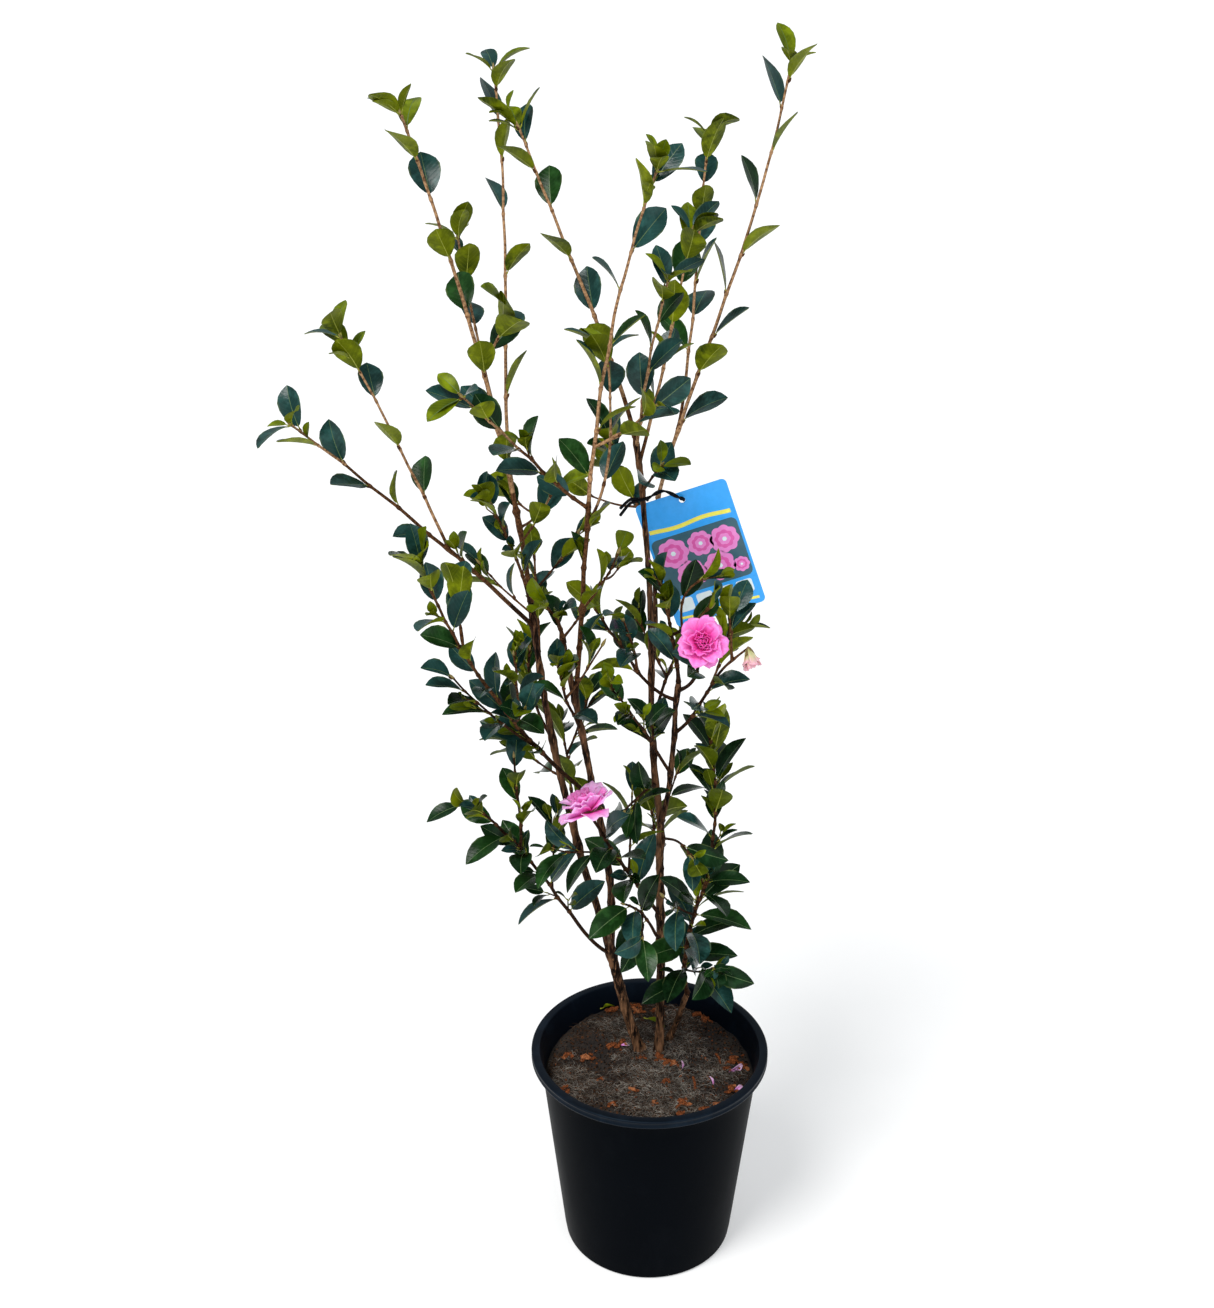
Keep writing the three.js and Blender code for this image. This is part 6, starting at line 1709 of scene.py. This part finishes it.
def blossom(piece, stem, flower, rings, seed):
    """Rings of petals round the tip of a shoot, and green sepals behind them."""
    roll = dice(seed)
    facing = unit(np.array(flower["facing"], float))
    across = unit(np.cross(facing, FRONT if abs(facing[2]) > 0.8 else UP))
    second = np.cross(facing, across)
    tip = stem.point(1)
    for rank, ring in enumerate(rings):
        for i in range(ring.count):
            bearing = 360 * (i + 0.5 * (rank % 2)) / ring.count + SPREAD["bearing"] * (roll() - 0.5)
            opening = flower["open"] * ring.open * (1 + SPREAD["open"] * (roll() - 0.5))
            outward = around(across, second, bearing)
            along = around(facing, outward, opening)
            normal = unit(facing - along * facing.dot(along)) if opening > 1 else -outward
            normal = around(normal, np.cross(along, normal), SPREAD["turn"] * (roll() - 0.5))
            length = flower["petal"] * ring.length * (LONGEST_PETAL - SPREAD["length"] * roll())
            width = flower["petal"] * ring.width * (1 + SPREAD["width"] * (roll() - 0.5))
            curl = ring.curl + SPREAD["curl"] * (roll() - 0.5) or 0.01
            foot = tip + facing * (RING_RISE * rank) + outward * RING_OUT
            petal(piece, foot, along, normal, (length, width, ring.cup, curl, ring.ruffle),
                  ring.paint, roll)
    for i in range(SEPALS["count"]):
        outward = around(across, second, 360 / SEPALS["count"] * i + SEPALS["first"])
        along = around(facing, outward, min(SEPALS["most_open"], flower["open"] + SEPALS["wider"]))
        normal = unit(facing - along * facing.dot(along))
        petal(piece, tip - facing * SEPALS["behind"], along, normal, SEPAL, "sepal", roll)


def fallen_petals(piece):
    """Petals that lie on the soil."""
    form = FALLEN_FORM
    for i, (x, y, length, turn, tilt) in enumerate(FALLEN):
        roll = dice(FALLEN_SEED + i)
        flat = around(RIGHT, -FRONT, turn)
        along = unit(around(flat, UP, form["rise"] * tilt))
        normal = unit(UP - along * UP.dot(along))
        normal = around(normal, np.cross(along, normal), tilt)
        start = np.array([x, y, soil_height(x, y) + form["above"]]) - 0.5 * length * along
        size = (length, form["width"] * length, form["cup"], form["curl"], form["ruffle"])
        petal(piece, start, along, normal, size, "fallen petal", roll)


def make_blossoms():
    flowers = Piece("petals", "petals", ["outer petal", "middle petal", "inner petal",
                                         "faded petal", "sepal", "fallen petal", "pale petal"])
    for shoot in SHOOTS:
        flower = shoot.get("blossom")
        if not flower:
            continue
        rings = FADED_RINGS if flower.get("inner") == 0 else RINGS
        if shoot["name"] == "blossom_left":
            rings, flower = SIDE_RINGS, dict(flower, petal=SIDE_FULLER * flower["petal"])
        blossom(flowers, shoot["stem"], flower, rings, shoot["seed"] + BLOSSOM_SEED)
    fallen_petals(flowers)
    flowers.make()


def shed_leaves():
    """Two yellow-green leaves that lie on the soil."""
    litter = Piece("shed_leaves", "foliage", LEAF_MATERIALS)
    finishes = dict.fromkeys(("top", "under", "rib", "under rib"), "bright underside")
    for i, (x, y, length, turn) in enumerate(SHED):
        along = around(RIGHT, -FRONT, turn)
        root = np.array([x, y, soil_height(x, y) + SHED_LEAF["above"]])
        root = root - along * SHED_LEAF["back"] * length
        leaf = Leaf(root, along, UP, np.cross(along, UP), length, SHED_LEAF["width"],
                    LEAF["stalk"], SHED_LEAF["fold"], SHED_LEAF["curl"], 0, 0, 0)
        draw_leaf(litter, leaf, leaf_look(dice(SHED_SEED + i), leaf), finishes)
    litter.make()


# The plant tag and its tie
PRINT_RISE = 0.12
PRINT_STEP = 0.05
CARD_EDGE = 0.12
# The print, from the middle of the card: its field, rosettes by place, radius and turn, with the
# rings of each by share of the radius, lobes and ink, plain panels, and wavy stripes by height
# and width
FIELD = (0, -4, 85, 62, 6)
ROSETTES = [(-25, 9, 15.5, 0.1), (3, 11, 13, 0.5), (26, 8, 14.5, 0.2), (-14, -17, 15, 0.7),
            (14, -17, 15.5, 0.3), (34, -22, 8, 0.9)]
LOBES = [(1.0, 8, "pink print"), (0.66, 8, "deep pink print"), (0.42, 6, "pink print"),
         (0.16, 6, "white print")]
PANELS_AT, PANEL = (-30, -10, 10, 30), (-45.5, 16, 14, 2.5)
STRIPES = [(35, 4.2), (-59, 2.6)]
STRIPE = dict(half_length=40, steps=24, swing=1.1, wave=9)
# How far the print sinks into the card, and how far the back's panel keeps from the card's edges
# and lies below its middle
PRINT_SINK = 0.02
TAG_BACK_INSET = 2.5
BACK_DOWN = 6


def rounded(x, y, width, height, radius, steps=5):
    """The outline of a rectangle with round corners, as points."""
    points = []
    for cx, cy, start in ((1, 1, 0), (-1, 1, 90), (-1, -1, 180), (1, -1, 270)):
        middle = (x + cx * (width / 2 - radius), y + cy * (height / 2 - radius))
        points += arc(*middle, radius, start, start + 90, steps)
    return points


def flat_shape(piece, points, low, high, paint, centre=None):
    """A thin plate with a star-shaped outline, between two levels of the tag's own frame."""
    count = len(points)
    middle = centre or tuple(np.mean(points, axis=0))
    rows = [(*middle, low), (*middle, high)]
    rows += [(x, y, low) for x, y in points] + [(x, y, high) for x, y in points]
    faces = []
    for i in range(count):
        j = (i + 1) % count
        a, b, c, d = 2 + i, 2 + j, 2 + count + j, 2 + count + i
        faces += [(0, b, a), (1, d, c), (a, b, c, d)]
    to_place = np.array(tag_matrix())
    placed = np.array(rows) @ to_place[:3, :3].T + to_place[:3, 3]
    piece.add(placed, faces, paint)


def band(piece, height, width, low, high, paint):
    """A wavy stripe across the tag."""
    xs = np.linspace(-STRIPE["half_length"], STRIPE["half_length"], STRIPE["steps"])
    for a, b in zip(xs, xs[1:]):
        ya, yb = (height + STRIPE["swing"] * math.sin(x / STRIPE["wave"]) for x in (a, b))
        flat_shape(piece, [(b, yb - width / 2), (b, yb + width / 2), (a, ya + width / 2),
                           (a, ya - width / 2)], low, high, paint)


def rosette(piece, x, y, radius, turn, low):
    """A plain scalloped flower of eight lobes, with a deeper ring and a pale eye."""
    for step, (share, lobes, paint) in enumerate(LOBES):
        angles = np.linspace(0, 2 * math.pi, 56, endpoint=False)
        reach = radius * share * (0.86 + 0.14 * np.abs(np.cos(lobes / 2 * (angles + turn))))
        points = [(x + r * math.cos(a), y + r * math.sin(a)) for a, r in zip(angles, reach)]
        flat_shape(piece, points, low, low + PRINT_STEP * (step + 1), paint, (x, y))


def card_body():
    """The card: a round-cornered plate with the hole for its tie, and softened edges."""
    curve = bpy.data.curves.new("card outline", "CURVE")
    curve.dimensions, curve.fill_mode = "2D", "BOTH"
    edge = CARD_EDGE
    hole_at = (0, TAG["height"] / 2 - TAG["hole_inset"])
    outlines = [rounded(0, 0, TAG["width"] - 2 * edge, TAG["height"] - 2 * edge, TAG["corner"], 9),
                arc(*hole_at, TAG["hole"] + edge, 0, 345, 24)]
    for points in outlines:
        spline = curve.splines.new("POLY")
        spline.points.add(len(points) - 1)
        for point, (x, y) in zip(spline.points, points):
            point.co = (x * MM, y * MM, 0, 1)
        spline.use_cyclic_u = True
    curve.extrude, curve.bevel_depth = (TAG["thickness"] / 2 - edge) * MM, edge * MM
    curve.bevel_resolution = 1
    flat = new_object("card outline", curve)
    evaluated = flat.evaluated_get(bpy.context.evaluated_depsgraph_get())
    mesh = bpy.data.meshes.new_from_object(evaluated)
    bpy.data.objects.remove(flat)
    to_metres = tag_matrix()
    to_metres.translation *= MM
    mesh.transform(to_metres)
    mesh.materials.clear()
    mesh.materials.append(FINISHES["blue card"])
    card = place("plant_tag", mesh, "tag_card")
    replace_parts(card, "tag")


def make_tag():
    """The tag, with a generic design: a field of rosettes, plain white panels, yellow waves."""
    card_body()
    prints = Piece("tag_print", "tag_card", ["teal print", "pink print", "deep pink print",
                                             "white print", "yellow print", "pale back"])
    top = TAG["thickness"] / 2 - PRINT_SINK
    high = top + PRINT_RISE
    flat_shape(prints, rounded(*FIELD), top, high, "teal print")
    for x, y, radius, turn in ROSETTES:
        rosette(prints, x, y, radius, turn, high)
    for x in PANELS_AT:
        flat_shape(prints, rounded(x, *PANEL), top, high, "white print")
    for height, width in STRIPES:
        band(prints, height, width, top, high, "yellow print")
    back = rounded(0, -BACK_DOWN, TAG["width"] - 2 * TAG_BACK_INSET,
                   TAG["height"] - 2 * BACK_DOWN - 2 * TAG_BACK_INSET, TAG["corner"])
    flat_shape(prints, back, -top - PRINT_RISE, -top, "pale back")
    prints.make(smooth=False)


TIE = dict(radius=1.5, ring_gap=0.35, at=0.84, strand=1.0, turns=2.5, ring_steps=28, sides=8,
           strand_sides=7, hole_gap=0.3, climb=0.006)
# The loose ends: how far each rises at first, and where it ends above the loop
TIE_ENDS = [(1.0, -6.0), (-3.0, -13.0)]


def smooth_path(knots, steps):
    """A Catmull-Rom path through its knots."""
    knots = [2 * knots[0] - knots[1], *knots, 2 * knots[-1] - knots[-2]]
    path = []
    for i in range(1, len(knots) - 2):
        a, b, c, d = knots[i - 1:i + 3]
        for t in np.linspace(0, 1, steps, endpoint=False):
            path.append(0.5 * (2 * b + (c - a) * t + (2 * a - 5 * b + 4 * c - d) * t * t
                               + (3 * b - a - 3 * c + d) * t**3))
    return np.array([*path, knots[-2]])


def make_tie(bough):
    """A black twist tie: a loop round the bough, two strands to the tag, and its loose ends."""
    tie = Piece("tag_twist_tie", "tie", ["black tie"])
    centre, way = bough.point(TIE["at"]), bough.direction(TIE["at"])
    reach = bough.radius(TIE["at"]) + TIE["ring_gap"] + TIE["radius"]
    first = unit(RIGHT - way * RIGHT.dot(way))
    second = np.cross(way, first)
    hole = np.array(tag_matrix() @ Vector((0, TAG["height"] / 2 - TAG["hole_inset"], 0)))
    rest = hole + UP * (TAG["hole"] - TIE["radius"] - TIE["hole_gap"])
    loop = [centre + around(first, second, a) * reach + way * TIE["climb"] * (a - 180)
            for a in np.linspace(-20, 340, TIE["ring_steps"])]
    strand = smooth_path([centre + first * reach, (centre + rest) / 2 + [0, -4, 9],
                          rest + [-3, -6, 3], rest, rest + [2, 5, -3]], 12)
    tube(tie, loop, TIE["radius"], TIE["sides"], "black tie")
    firsts, seconds, _ = transport(strand, UP)
    for half in (0, 180):
        turns = np.radians(half + np.linspace(0, 360 * TIE["turns"], len(strand)))
        twined = strand + TIE["strand"] * (firsts * np.cos(turns)[:, None]
                                           + seconds * np.sin(turns)[:, None])
        tube(tie, twined, TIE["strand"], TIE["strand_sides"], "black tie")
    for lift, drop in TIE_ENDS:
        end = smooth_path([centre - first * reach + UP * 0.5 * lift,
                           centre - first * (reach + 8) + UP * lift - second * 2,
                           centre - first * (reach + 17) + UP * drop - second * 4], 8)
        tube(tie, end, TIE["radius"], TIE["strand_sides"], "black tie")
    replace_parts(tie.make(), "tag_tie")


# Light, floor and camera
def make_camera():
    data = bpy.data.cameras.new("photo view")
    data.sensor_width, data.lens = SENSOR, FOCAL_PIXELS / max(PHOTO) * SENSOR
    data.clip_end = 100
    camera = new_object("photo view", data)
    camera.location = [c * MM for c in EYE]
    camera.rotation_euler = (math.radians(90 - PITCH), 0, 0)
    bpy.context.scene.camera = camera


FLOOR_REACH = 30


def make_floor():
    data = bpy.data.meshes.new("floor")
    corners = [(x * FLOOR_REACH, y * FLOOR_REACH, 0) for x, y in ((-1, -1), (1, -1), (1, 1), (-1, 1))]
    data.from_pydata(corners, [], [(0, 1, 2, 3)])
    data.materials.append(FINISHES["pale floor"])
    floor = new_object("floor", data)
    floor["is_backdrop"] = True


def lamp(name, strength, angle, turn, colour):
    """Soft daylight from one side: a sun seen as a disc of that angle."""
    data = bpy.data.lights.new(name, "SUN")
    data.energy, data.angle, data.color = strength, math.radians(angle), colour
    new_object(name, data).rotation_euler = [math.radians(a) for a in turn]


def make_light():
    world = bpy.data.worlds.new("soft daylight")
    world.use_nodes = True
    shade = world.node_tree.nodes["Background"].inputs
    shade["Color"].default_value, shade["Strength"].default_value = (0.92, 0.96, 1.0, 1), 0.5
    bpy.context.scene.world = world
    lamp("key", 2.2, 22, (24, -22, 0), (1.0, 0.99, 0.97))
    lamp("fill", 0.85, 50, (58, 30, 0), (0.96, 0.98, 1.0))
    bpy.context.scene.view_settings.view_transform = "Standard"


make_camera()
make_light()
make_floor()
stems, growing, spurs = grow_shrub()
make_pot()
make_soil()
strew_soil()
make_litter()
make_limbs(stems)
make_twigs(growing, spurs)
make_leaves(growing, spurs + [tip_tuft(shoot) for shoot in SHOOTS])
make_buds(growing)
make_blossoms()
shed_leaves()
make_tag()
make_tie(stems["bough_right"])

sizes = [[list(corner) for corner in box] for box in (cad_box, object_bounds())]
dict(cad=sizes[0], visual=sizes[1])
